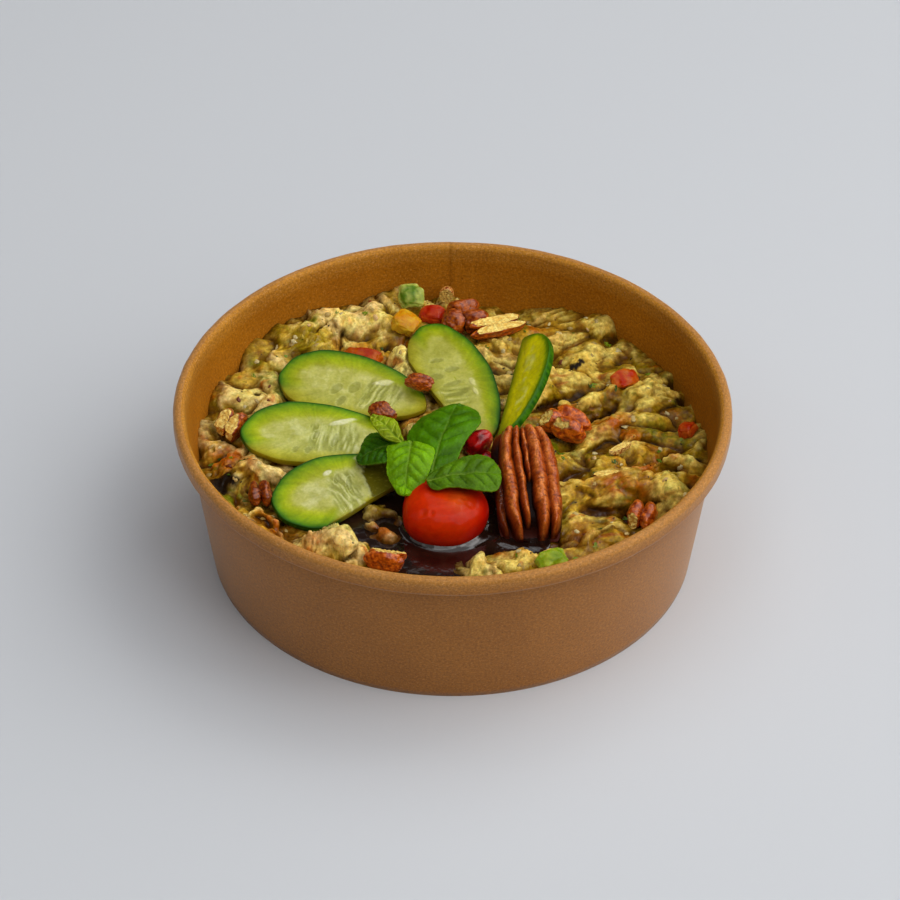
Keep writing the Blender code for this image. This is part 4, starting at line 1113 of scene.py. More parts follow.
# name: centre, length, width, height, heading, pitch, roll, lobes, cuts, brightness, share of flesh
# a lobe is (x, y, z) and three half sizes in shares of the half size, a cut is (direction, share
# of the half size that stays)
TWO_LOBES = [(0.0, -0.42, 0.0, 1.0, 0.50, 0.95), (0.05, 0.44, -0.05, 0.92, 0.48, 0.9)]
THREE_LOBES = [(0.0, -0.52, -0.1, 0.92, 0.53, 0.9), (0.1, 0.06, 0.15, 0.95, 0.36, 0.9),
               (-0.1, 0.58, -0.1, 0.86, 0.59, 0.8)]
CURLED = [(0.35, -0.38, 0.0, 0.66, 0.58, 0.9), (-0.48, -0.1, -0.05, 0.54, 0.72, 0.85),
          (0.12, 0.5, 0.05, 0.8, 0.52, 0.9)]
ONE_LOBE = [(0.0, 0.0, 0.0, 1.0, 0.95, 0.95)]
PECAN_PIECES = {
    "pecan_piece_1": ((3.0, 52.6, 36.6), 12.4, 10.6, 8.4, 20, 0, 10, CURLED, [], 0.75, 0.0),
    "pecan_piece_2": ((11.8, 49.0, 36.4), 17.0, 7.0, 6.4, 28, -8, 24, TWO_LOBES,
                      [((0.0, 0.30, 1.0), 0.30)], 1.0, 0.0),
    "pecan_piece_3": ((-1.8, 64.6, 35.4), 5.4, 4.0, 5.2, 70, 20, 0, ONE_LOBE, [((-1.0, -0.2, 0.3), 0.2)], 1.0, 0.45),
    "pecan_piece_4": ((-60.6, 8.8, 32.4), 10.0, 8.8, 7.0, 60, 10, 0, TWO_LOBES,
                      [((-0.4, 0.35, 1.0), 0.4), ((-1.0, 0.3, 0.0), 0.55)], 0.8, 0.0),
    "pecan_piece_5": ((-18.8, 9.4, 37.0), 8.6, 6.8, 5.4, -20, 0, 12, ONE_LOBE,
                      [((0.75, 1.0, 0.0), 0.42), ((-0.75, 1.0, 0.0), 0.42)], 0.62, 0.0),
    "pecan_piece_6": ((-9.2, 20.4, 38.6), 8.0, 5.6, 4.2, -18, 0, 0, TWO_LOBES, [], 0.8, 0.0),
    "pecan_piece_7": ((30.2, 7.4, 34.6), 14.4, 10.8, 8.0, -30, 0, -8, CURLED,
                      [((-1.0, -0.5, 0.5), 0.78), ((-0.2, -1.0, 0.5), 0.84)], 1.1, 0.0),
    "pecan_piece_8": ((45.2, -2.4, 34.0), 7.4, 3.2, 3.0, 40, 0, 0, ONE_LOBE, [((0.1, 0.3, 1.0), 0.2)], 1.0, 0.8),
    "pecan_piece_9": ((42.0, -14.8, 34.4), 8.8, 4.4, 3.4, 5, 0, 0, ONE_LOBE, [((0.0, 0.2, 1.0), 0.3)], 0.6, 0.0),
    "pecan_piece_10": ((50.4, -30.6, 33.0), 9.6, 8.2, 8.0, 75, 12, 0, TWO_LOBES, [((-1.0, 0.5, 0.3), 0.72)], 1.0, 0.0),
    "pecan_piece_11": ((-17.4, -48.4, 33.4), 10.6, 8.0, 7.6, -12, 0, 0, TWO_LOBES,
                       [((0.0, 0.75, 1.0), 0.40)], 1.1, 0.0),
    "pecan_piece_12": ((-51.2, -21.4, 32.8), 8.8, 6.6, 6.2, 100, 0, 0, TWO_LOBES, [], 0.5, 0.0),
}


def lobed_body(way, lobes):
    """Distance to the outside of merged ovals in each direction, and how near a crease is."""
    first = np.zeros(len(way))
    second = np.zeros(len(way))
    for x, y, z, wide, deep, tall in lobes:
        centre, size = np.array((x, y, z)), np.array((wide, deep, tall))
        a = ((way / size) ** 2).sum(axis=1)
        b = (way * centre / size ** 2).sum(axis=1)
        c = ((centre / size) ** 2).sum() - 1.0
        reach = (b + np.sqrt(np.maximum(b * b - a * c, 0.0))) / a
        second = np.where(reach > first, first, np.maximum(second, reach))
        first = np.maximum(first, reach)
    return first, second


def kernel_shape(size, number, lobes, cuts, rows, columns):
    """Local points, crease and broken share of a broken bit of kernel."""
    way = ball(rows, columns)
    flat = way.reshape(-1, 3)
    bend = 0.22 * np.stack([smooth_noise(flat + number, 0.8, k) for k in (1, 2, 3)], axis=1)
    bent = flat + bend
    bent /= np.linalg.norm(bent, axis=1, keepdims=True)
    first, second = lobed_body(bent, lobes)
    crease = ease(second / first, 0.86, 1.0)
    bulk = first * (1.0 - 0.30 * crease) * (1.0 + 0.10 * smooth_noise(flat + number * 3.1, 0.7, 1))
    bulk += 0.05 * rough_noise(flat + number, 0.30, 2)
    local = flat * (0.5 * bulk)[:, None]
    broken = np.zeros(len(flat))
    for direction, keep in cuts:
        direction = np.array(direction) / np.linalg.norm(direction)
        chip = 0.05 * rough_noise(flat * 2.0 + number * 5.0, 0.5, 4)
        beyond = local @ direction - (0.5 * keep + chip)
        local = local - np.where(beyond > 0.0, beyond, 0.0)[:, None] * direction
        broken = np.maximum(broken, ease(beyond, 0.0, 0.03))
    return local * np.array(size), flat, crease, broken


def pecan_piece(name, number, paint):
    """Broken bit of kernel: lobed, wrinkled, shiny skin with pale broken faces."""
    centre, length, width, height, heading, pitch, roll, lobes, cuts, bright, pale = PECAN_PIECES[name]
    rows, columns = 72, 84
    local, flat, crease, broken = kernel_shape((length, width, height), number, lobes, cuts, rows, columns)
    streak = ease(rough_noise(flat * 3.0 + number, 0.6, 5), -0.7, 0.8)
    skin = blend(np.broadcast_to(srgb(140, 48, 3), flat.shape), srgb(222, 112, 22), streak) * bright
    # creases between the lobes painted near black: partly dark skin, partly painted shade
    skin = blend(skin, PECAN_GROOVE_SHADE, 0.9 * crease)
    edge = 4.0 * broken * (1.0 - broken)
    flesh = blend(np.broadcast_to(PECAN_FLESH, flat.shape), srgb(220, 164, 56), 0.8 * (1.0 - streak))
    share = np.clip(np.maximum(broken * (1.0 - 0.7 * crease), pale * ease(streak, 0.1, 0.6)), 0.0, 1.0)
    colour = blend(skin, flesh, share)
    colour = blend(colour, srgb(80, 16, 2), 0.8 * edge)
    placed = np.array(centre) + local @ turn(heading, pitch, roll).T
    points, faces = tube(placed.reshape(rows, columns, 3))
    wet = 0.85 * (1.0 - share.reshape(rows, columns))
    values = {"paint": with_ends(colour.reshape(rows, columns, 3)), "wet": with_ends(wet)}
    return piece(name + "_broken", points, faces, paint, values, [name])


# ---- peppers ----------------------------------------------------------------------------------
# name: centre, length, width, wall thickness, heading, pitch, roll, skin colour, flesh colour
PEPPER_DICE = {
    "pepper_green_1": ((-11.8, 61.4, 37.0), 7.0, 6.6, 2.8, 5, 0, 42, srgb(82, 120, 6), srgb(200, 206, 96)),
    "pepper_yellow_1": ((-13.2, 51.0, 35.6), 7.4, 7.0, 3.2, 70, 0, 20, srgb(206, 130, 4), srgb(224, 180, 40)),
    "pepper_red_1": ((-5.6, 55.9, 34.8), 7.0, 5.0, 3.0, -15, 0, 25, srgb(172, 26, 3), srgb(206, 80, 26)),
    "pepper_red_2": ((-24.6, 37.4, 33.4), 10.4, 5.0, 3.0, -14, 0, 15, srgb(164, 40, 3), srgb(196, 100, 18)),
    "pepper_red_3": ((47.4, 30.0, 32.1), 7.2, 5.0, 2.8, 28, 0, 20, srgb(182, 42, 4), srgb(206, 112, 30)),
    "pepper_red_4": ((64.2, 10.0, 30.3), 5.6, 4.4, 2.8, 60, 0, -20, srgb(174, 38, 4), srgb(198, 92, 24)),
    "pepper_green_2": ((26.2, -50.2, 34.0), 8.2, 5.6, 2.8, 30, 0, 15, srgb(118, 146, 4), srgb(186, 196, 60)),
}


def block_shape(size, number, power=0.60, rows=40, columns=56):
    """Local points of a soft-edged, slightly bent and uneven block, and the share that is cut side."""
    way = ball(rows, columns).reshape(-1, 3)
    boxy = np.sign(way) * np.abs(way) ** power
    boxy /= np.maximum(1.0, np.abs(boxy).max(axis=1, keepdims=True) ** 0.5)
    rough = 0.20 * smooth_noise(way * 1.3 + number * 3.0, 1.1, 1) + 0.08 * rough_noise(way * 3.0, 1.2, number)
    local = 0.5 * boxy * (1.0 + rough)[:, None] * np.array(size)
    local[:, 2] += 0.22 * size[2] * (1.0 - (2.0 * local[:, 0] / size[0]) ** 2)
    cut = ease(-boxy[:, 2], -0.80, -0.45)
    return local, cut


def pepper_dice(name, number, paint):
    """Small square of pepper: a bit of curved wall, glossy skin up and paler flesh at its sides."""
    centre, length, width, thickness, heading, pitch, roll, skin, flesh = PEPPER_DICE[name]
    rows, columns = 40, 56
    local, cut = block_shape((length, width, thickness * 1.12), number)
    placed = np.array(centre) + local @ turn(heading, pitch, roll).T
    points, faces = tube(placed.reshape(rows, columns, 3))
    mottle = 0.7 * ease(rough_noise(local + number * 5.0, 2.4, 3), -0.5, 0.8)
    colour = blend(np.broadcast_to(skin, local.shape), flesh, np.clip(0.5 * cut + mottle, 0.0, 1.0))
    values = {"paint": with_ends(colour.reshape(rows, columns, 3)), "wet": np.full(len(points), 0.25)}
    return piece(name + "_cube", points, faces, paint, values, [name])


# ---- dip --------------------------------------------------------------------------------------
DIP_CELLS = 300
# Raised forms on the CAD's swells: x, y, heading, half length, width to its left, width to its
# right, rise.  A narrow width makes that flank steep, a negative rise makes a hollow.
DIP_FORMS = [
    (46.0, -15.8, 14, 20, 1.0, 5.0, 3.4),     # crest of the front right fold
    (44.0, -13.2, 14, 18, 1.4, 1.1, -5.0),    # crevice behind it
    (57.5, -8.0, 17, 12, 1.2, 3.8, 2.6),      # crest of the fold above
    (55.0, -5.4, 17, 12, 1.3, 1.1, -2.6),
    (48.0, -5.0, 100, 4, 2.0, 2.0, -1.6),     # gully that runs down to it
    (56.0, -25.0, 40, 7, 4.0, 4.0, 1.6),
    (42.0, -26.6, 2, 9, 2.0, 1.8, -3.4),      # dark valley in front of it
    (45.0, -32.6, 20, 6, 2.6, 3.0, 1.4),
    (36.0, -36.0, 60, 4, 2.2, 2.2, 1.2),
    (37.0, 21.4, 34, 9.5, 3.6, 0.7, 3.2),     # thin flap that hangs over a shadow
    (38.8, 18.2, 34, 9, 1.2, 1.8, -3.6),
    (34.0, 28.0, 10, 6, 4.0, 4.0, 1.6),
    (54.6, 24.4, 60, 5, 4.0, 4.0, 2.4),       # knobbly lump by the wall
    (60.4, 30.4, 60, 2.6, 1.8, 1.8, -4.5),    # dark cavities beside it
    (63.8, 24.6, 60, 2.2, 1.3, 1.3, -3.0),
    (57.0, 15.4, 20, 4, 2.8, 2.8, 1.4),
    (43.4, 11.0, 60, 5, 3.0, 3.4, 1.8),       # amber lumps
    (48.6, 6.2, 120, 3, 2.2, 2.2, 1.2),
    (41.0, 44.0, 150, 5, 4.0, 4.0, 1.6),
    (48.6, 45.0, 130, 4, 3.0, 3.0, 1.6),
    (30.0, 49.5, 10, 5, 3.0, 3.0, 1.2),
    (20.6, 53.4, 160, 5, 3.0, 3.0, 1.2),
    (45.0, 50.2, 60, 4, 1.2, 1.2, -1.6),
    (13.6, 33.0, 80, 8, 3.4, 3.4, 2.0),       # fibrous mass between the two upper slices
    (7.5, 62.0, 170, 5, 3.0, 3.0, 1.0),
    (-12.2, 31.0, 113, 14, 3.6, 3.2, 3.0),    # long pale ridge between two slices
    (-14.6, 24.0, 60, 2.4, 1.2, 1.2, -1.2),
    (-32.0, 53.0, 150, 6, 4.4, 4.4, 2.0),
    (-25.5, 60.0, 150, 5, 3.4, 3.4, 1.6),
    (-40.0, 44.0, 140, 6, 4.0, 4.0, 1.8),
    (-36.2, 48.6, 50, 6, 0.9, 0.9, -1.8),
    (-47.8, 33.6, 130, 5, 3.6, 3.6, 1.4),
    (-45.6, 27.4, 115, 7, 1.5, 1.5, -1.8),
    (-52.0, 19.6, 115, 7, 4.4, 4.0, 2.6),     # tan lump behind the second slice
    (-60.6, 35.4, 120, 2.4, 1.6, 1.6, -4.0),  # dark holes
    (-53.6, 22.4, 0, 1.1, 1.0, 1.0, -2.0),
    (-62.0, 17.0, 120, 5, 2.2, 2.2, 1.0),
    (-49.0, -12.6, 160, 7, 3.8, 4.4, 2.2),    # pale swell between two slices
    (-56.0, -4.0, 130, 5, 3.0, 3.0, 1.6),
    (-61.0, -14.6, 165, 4.8, 1.6, 2.0, 1.2),  # charred strip of skin
    (-53.0, -28.2, 60, 4.5, 1.3, 1.5, 2.2),   # curled olive folds
    (-48.4, -29.4, -45, 4.5, 1.5, 1.2, 2.0),
    (-47.4, -35.0, 140, 4, 1.6, 1.8, 1.6),
    (-57.6, -23.0, 130, 5, 2.0, 2.0, 1.2),
    (-28.0, -38.8, 160, 6.4, 4.6, 4.0, 2.6),
    (-32.0, -40.4, 165, 8, 6.0, 5.0, 1.8),    # big lump at the front left
    (-19.8, -25.2, 20, 4.0, 3.2, 3.2, 4.6),   # lumps that stand in the pool
    (-14.4, -28.6, 100, 3.0, 2.6, 2.6, 3.8),
    (-18.4, -35.0, -38, 6.0, 2.4, 2.6, 4.4),
    (-26.4, -46.0, 10, 4.4, 3.2, 3.2, 3.0),
    (3.6, -49.4, 60, 4.6, 4.0, 4.0, 3.4),
    (12.6, -46.4, 10, 6.0, 4.2, 4.2, 4.0),
    (20.6, -44.0, 50, 4.6, 3.0, 3.0, 3.0),
    (29.0, -7.0, 30, 5, 2.4, 2.4, 1.2),
    (26.6, 2.0, 80, 3, 2.0, 2.0, 1.2),
]
# x, y, reach, strength of each colour's places
AMBER_SPOTS = [
    (43, 11, 5, 0.9), (48, 7, 4, 0.9), (51, -9, 4, 1.0), (52, -14, 3, 0.8), (44, -20, 4, 0.9), (50, -22, 4, 0.7),
    (30, -14, 5, 0.6), (-61, -3, 5, 1.0), (-55, -8, 3, 0.8), (-46, -34, 4, 0.9), (-50, -29, 4, 0.7),
    (-38, -47, 4, 0.9), (-18, -35, 5, 0.9), (12, -43, 4, 0.9), (20, -43, 4, 0.9), (-12, 46, 3, 0.8),
    (-24, 39, 5, 0.7), (23, 54, 4, 0.6), (38, 14, 4, 0.6), (-31, 30, 4, 0.4), (33, -37, 4, 0.6), (55, 4, 4, 0.5),
    (-10, 14, 4, 0.6), (16, -46, 3, 0.6), (62, 18, 3, 0.5),
]
GREEN_SPOTS = [
    (-50, 29, 3, 0.9), (-47, 24, 3, 0.8), (-60, 14, 4, 0.8), (-64, 11, 3, 0.7), (57, 10, 4, 0.9), (61, 6, 3, 0.7),
    (27, 1.6, 3, 0.9), (-57, -19, 2.5, 1.0), (48, -21, 2.5, 0.9), (60, 34, 3, 0.6), (20, 52, 2, 0.7),
    (-41, 50, 3, 0.7), (-66, -4, 3, 0.7), (62, 22, 3, 0.6), (-34, 38, 3, 0.5), (14, -44, 2, 0.6), (62, -20, 3, 0.5),
    (-54, 36, 3, 0.6), (34, -3, 3, 0.6), (-28.0, -38.2, 3.6, 1.6), (10.0, -45.4, 2.4, 1.2), (47.6, -24, 2.6, 1.2), (55.5, -33, 3, 0.8),
    (53.6, 9, 4.6, 0.9),
]
OLIVE_SPOTS = [
    (40, 21, 4, 1.0), (30, 13, 5, 0.9), (26, 23, 4, 1.0), (-40, 43, 6, 0.9), (33, -9, 6, 0.8), (36, -14, 4, 0.8),
    (-19, -25, 4, 1.0), (60, 20, 4, 0.5), (-36, 34, 5, 0.6), (41, 0, 5, 0.8), (47, -26, 5, 0.6), (58, -9, 6, 0.7),
    (-62, -26, 5, 0.6), (63, 2, 5, 0.6), (24, -22, 5, 0.7), (-45, 12, 5, 0.6), (48, 38, 5, 0.7), (10, 52, 5, 0.5),
]
PALE_SPOTS = [
    (-31, 53, 7, 1.0), (-25, 61, 5, 1.0), (-12, 31, 7, 1.0), (-8, 20, 4, 1.0), (-52, 19, 7, 1.0), (-49, -12, 6, 1.0),
    (-53, -5, 4, 0.7), (-32, -40, 8, 1.2), (55, 25, 4, 1.0), (33, 29, 6, 0.9), (14, 34, 6, 1.0), (41, 44, 5, 0.7),
    (57, -27, 5, 0.7), (62, -6, 4, 0.7), (3, -49, 3, 0.9), (12, -48, 4, 1.0), (-26, -46, 3, 0.8), (30, 50, 4, 0.7),
    (38, 23, 4, 0.8), (25, -43, 3, 0.7), (44, -1, 3, 0.6), (-44, 57, 5, 0.6), (-55, -33, 4, 0.4),
]
RUST_SPOTS = [(-27, 38, 4, 0.9), (-21, 33, 3, 0.9), (-24, 35, 4, 0.8), (-9, 19, 2, 0.8), (32, -17, 3, 0.5)]
# black spots of charred skin and specks, and painted shade in the dark holes, cavities and the crevice behind the
# front right fold
CHAR_AND_HOLE_SHADE_SPOTS = [(33.8, 35.2, 1.2, 1.2), (35.4, 37.0, 1.2, 1.2), (-61.2, -14.4, 4.0, 1.3), (60.4, 30.4, 2.6, 1.0),
              (64, 24.6, 2, 1.0), (-60.6, 35.4, 2.2, 1.0), (-53.6, 22.4, 1.4, 0.9), (66.4, -1, 2.4, 0.9), (40, -13.4, 3, 0.6)]
# places where the dark sauce has run into the mash: x, y, reach, strength
STAINED_SPOTS = [
    (-45, -41, 7, 0.9), (-52, -33, 5, 0.8), (-58, -22, 5, 0.9), (-63, -12, 5, 0.8), (-38, -49, 4, 0.8), (-25, -39, 5, 0.7),
    (-20, -47, 4, 0.8), (27, -43, 5, 0.9), (33, -40, 4, 0.9), (22, -47, 3, 0.6), (34, -20, 5, 0.5), (30, -9, 5, 0.5),
    (-20, -26, 5, 0.6), (-15, -29, 4, 0.8), (-17, -34, 5, 0.7), (42, -27, 5, 0.8),
    (0, -52, 3, 0.6), (37, -11, 5, 0.6), (47, -34, 4, 0.6), (60, 0, 5, 0.5), (28, 18, 4, 0.5), (-14, 15, 4, 0.6),
]
DIP_BASE = srgb(190, 156, 52)
DIP_PALE = srgb(230, 210, 126)
DIP_ROSY = srgb(212, 182, 122)
DIP_OLIVE = srgb(138, 116, 3)
DIP_GREEN = srgb(80, 106, 3)
DIP_BROWN = srgb(118, 66, 3)
DIP_AMBER = srgb(170, 86, 2)
DIP_RUST = srgb(150, 44, 8)
DIP_CHAR_AND_SHADE = srgb(28, 18, 8)
DIP_SOAKED = srgb(70, 34, 6)


def square_to_disc(cells):
    """Unit-disc points of a square grid, with even cells and its border on the circle."""
    line = np.linspace(-1.0, 1.0, cells + 1)
    a, b = np.meshgrid(line, line, indexing="ij")
    wide = np.abs(a) >= np.abs(b)
    radius = np.where(wide, a, b)
    with np.errstate(divide="ignore", invalid="ignore"):
        first = np.where(wide, (math.pi / 4.0) * (b / a), (math.pi / 2.0) - (math.pi / 4.0) * (a / b))
    angle = np.nan_to_num(first)
    return radius * np.cos(angle), radius * np.sin(angle)


def soften(field, times):
    """Average each grid value with its neighbours, again and again."""
    for _ in range(times):
        wide = np.pad(field, 1, mode="edge")
        field = (wide[:-2, 1:-1] + wide[2:, 1:-1] + wide[1:-1, :-2] + wide[1:-1, 2:] + 4.0 * field) / 8.0
    return field


def tree_of(objects):
    """One search tree over the triangles of several objects, in millimetres."""
    points, faces = [], []
    for item in objects:
        count = len(points)
        points += [item.matrix_world @ vert.co / MM for vert in item.data.vertices]
        faces += [[index + count for index in poly.vertices] for poly in item.data.polygons]
    return BVHTree.FromPolygons(points, faces)


def form_height(x, y, forms):
    """Sum of oval swells and hollows, each with its own steepness to either side."""
    height = np.zeros_like(x)
    for cx, cy, heading, reach, left, right, rise in forms:
        angle = math.radians(heading)
        along = (x - cx) * math.cos(angle) + (y - cy) * math.sin(angle)
        across = (y - cy) * math.cos(angle) - (x - cx) * math.sin(angle)
        width = np.where(across > 0.0, left, right)
        height += rise * np.exp(-((along / reach) ** 4) - (across / width) ** 2)
    return height


def spots(points, listed):
    """Strength of a list of (x, y, reach, strength) spots at each point."""
    total = np.zeros(len(points))
    for x, y, reach, strength in listed:
        total = np.maximum(total, strength * spread((x, y), points, reach))
    return total


def pillows(points, size, seed):
    """Soft folds of about 1 with sharp creases of 0 between them."""
    return 1.0 - np.exp(-3.4 * np.abs(smooth_noise(points, size, seed)))


def flaps(points, size, seed, steps):
    """Tilted plates that end in steep edges, like torn layers of the mash."""
    level = steps * rough_noise(points, size, seed, 2)
    share = level - np.floor(level)
    return np.floor(level) + ease(share, 0.40, 0.62) - level


def mash_relief(flat):
    """Height of the mash's own folds, torn flaps, creases and pulp over its smooth swells."""
    # on the right the folds run long, from the front left to the back right
    right = ease(flat[:, 0], 8.0, 30.0)
    grain = math.radians(15.0)
    along = flat[:, 0] * math.cos(grain) + flat[:, 1] * math.sin(grain)
    across = flat[:, 1] * math.cos(grain) - flat[:, 0] * math.sin(grain)
    flow = np.stack([along * (1.0 - 0.38 * right), across * (1.0 + 0.12 * right), flat[:, 2]], axis=1)
    bend = np.stack([smooth_noise(flow, 7.0, 21), smooth_noise(flow, 7.0, 22), smooth_noise(flow, 7.0, 23)], axis=1)
    curl = np.stack([smooth_noise(flow, 3.0, 27), smooth_noise(flow, 3.0, 28), smooth_noise(flow, 3.0, 29)], axis=1)
    bent = flow + 2.6 * bend
    curled = bent + 1.2 * curl
    lively = ease(smooth_noise(flat, 15.0, 24), -0.6, 0.6)
    relief = 2.5 * (pillows(bent, 11.5, 1) - 0.6)
    relief += 0.8 * flaps(bent, 12.0, 3, 2.4) * (0.4 + 0.8 * lively)
    relief += 0.75 * (pillows(curled, 5.4, 2) - 0.6) * (0.35 + 0.8 * lively)
    relief += 0.26 * (pillows(curled, 2.4, 4) - 0.6) * (0.5 + 0.7 * lively)
    relief += 0.17 * rough_noise(flat + 0.6 * curl, 1.7, 25, 3)
    from_middle, _, _ = cell_noise(flat + 0.9 * curl, 2.6, 5)
    relief += 0.26 * (0.6 - from_middle) * ease(smooth_noise(flat, 9.0, 30), -0.5, 0.5)
    return relief, bent, bend


def dip_colours(points, flat, hollow, deep, bent):
    """Colour and wetness of the mash: pale pulp, glassy olive, amber oil, rust, herbs, charred skin, painted shade in
    its hollows, holes and along the wall, and painted light on its crests.
    """
    ragged = 1.8 * np.stack([rough_noise(flat, 3.2, 36), rough_noise(flat, 3.2, 37), 0.0 * hollow], axis=1)
    placed = points + ragged
    mood = rough_noise(bent, 8.0, 31, 3)
    olive_mood = rough_noise(bent, 6.0, 38, 3)
    pale_spot, olive_spot = spots(placed, PALE_SPOTS), spots(placed, OLIVE_SPOTS)
    # the pale pulp keeps to the crests and the olive gathers in the hollows: partly the mash's own colour, partly
    # painted shade
    pale = ease(mood + 1.4 * pale_spot - 0.8 * olive_spot - 0.5 * hollow - 0.35 * deep, -0.1, 0.8)
    olive = ease(olive_mood + 1.2 * olive_spot - 1.1 * pale_spot + 0.3 * hollow + 0.2 * deep, 0.05, 0.7)
    rosy = ease(rough_noise(bent, 9.0, 42, 2) - 0.012 * points[:, 0], -0.2, 0.7)
    colour = blend(np.broadcast_to(DIP_BASE, points.shape), blend(DIP_PALE * np.ones(points.shape), DIP_ROSY, rosy), pale)
    colour = blend(colour, DIP_OLIVE, 0.9 * olive)
    brown = ease(rough_noise(flat, 5.2, 41, 3), 0.22, 0.70) * (1.0 - 0.5 * pale_spot)
    colour = blend(colour, DIP_BROWN, 0.72 * brown)
    vein = ease(-np.abs(rough_noise(flat, 4.4, 39, 3)), -0.14, 0.0)
    colour = blend(colour, DIP_BROWN, 0.35 * vein)
    speck_green = ease(rough_noise(flat, 2.6, 33), 0.45, 0.85)
    placed_green = 1.3 * spots(placed, GREEN_SPOTS) * ease(rough_noise(flat, 2.0, 34), -0.9, 0.3)
    green = np.clip(0.6 * speck_green + placed_green, 0.0, 1.0)
    colour = blend(colour, DIP_GREEN, 0.8 * green)
    stray = 0.8 * ease(rough_noise(bent, 5.0, 40, 3), 0.5, 0.9)
    placed_amber = 1.3 * spots(placed, AMBER_SPOTS) * ease(rough_noise(flat, 3.2, 35), -1.1, 0.0)
    amber = np.clip(np.maximum(placed_amber, stray), 0.0, 1.0)
    colour = blend(colour, DIP_AMBER, 0.95 * amber)
    colour = blend(colour, DIP_RUST, np.clip(spots(placed, RUST_SPOTS), 0.0, 0.85))
    # painted shade: the deeper a place lies below its surroundings, the browner and then nearer black it is painted,
    # which also lays painted contact shadow beside and under the garnish; painted light lifts the crests
    sunk = hollow + 0.7 * deep
    colour = blend(colour, srgb(104, 68, 3), 0.80 * ease(sunk, 0.0, 0.95))
    colour = blend(colour, srgb(34, 17, 1), 0.92 * ease(sunk, 0.75, 2.1))
    colour = colour * (1.0 + 0.22 * ease(-sunk, 0.1, 1.1))[:, None]
    leftward = ease(-points[:, 0], -6.0, 30.0)[:, None]
    colour = colour * (1.06 + leftward * np.array([0.18, 0.22, 0.36]))
    rightward = ease(points[:, 0], 0.0, 30.0)[:, None]
    colour = colour * (1.0 - rightward * np.array([0.02, 0.07, 0.24]))
    stain = np.clip(1.2 * spots(placed, STAINED_SPOTS) * ease(rough_noise(flat, 4.0, 43, 3) + 0.4 * sunk, -0.6, 0.5),
                    0.0, 1.0)
    colour = blend(colour, srgb(92, 46, 2), 0.8 * stain)
    # painted black: the charred skin, and painted shade in the holes and cavities
    char_and_hole_shade = np.clip(ease(spots(placed, CHAR_AND_HOLE_SHADE_SPOTS), 0.25, 0.75), 0.0, 1.0)
    colour = blend(colour, DIP_CHAR_AND_SHADE, char_and_hole_shade)
    # the sauce has climbed into the lumps that stand in the pool
    climb = 1.8 + 3.4 * spread((-17, -30), points, 8) + 2.0 * spread((15, -45), points, 5)
    soaked = ease((POOL_LEVEL - points[:, 2]) / climb, -1.0, 0.0) * spread((2, -36), points, 32)
    colour = blend(colour, DIP_SOAKED, np.clip(1.3 * soaked, 0.0, 0.9))
    # painted shade where the mash meets the wall
    painted_wall_shade = ease(np.hypot(points[:, 0], points[:, 1]), 64.0, 69.5)
    colour = blend(colour, srgb(96, 60, 4), 0.5 * painted_wall_shade)
    wet = 0.50 - 0.40 * ease(sunk, 0.0, 0.8) + 0.4 * amber + 0.35 * olive + 0.6 * soaked + 0.2 * stain
    wet = wet - 0.15 * pale - 0.15 * char_and_hole_shade
    return colour, np.clip(wet, 0.0, 1.0)


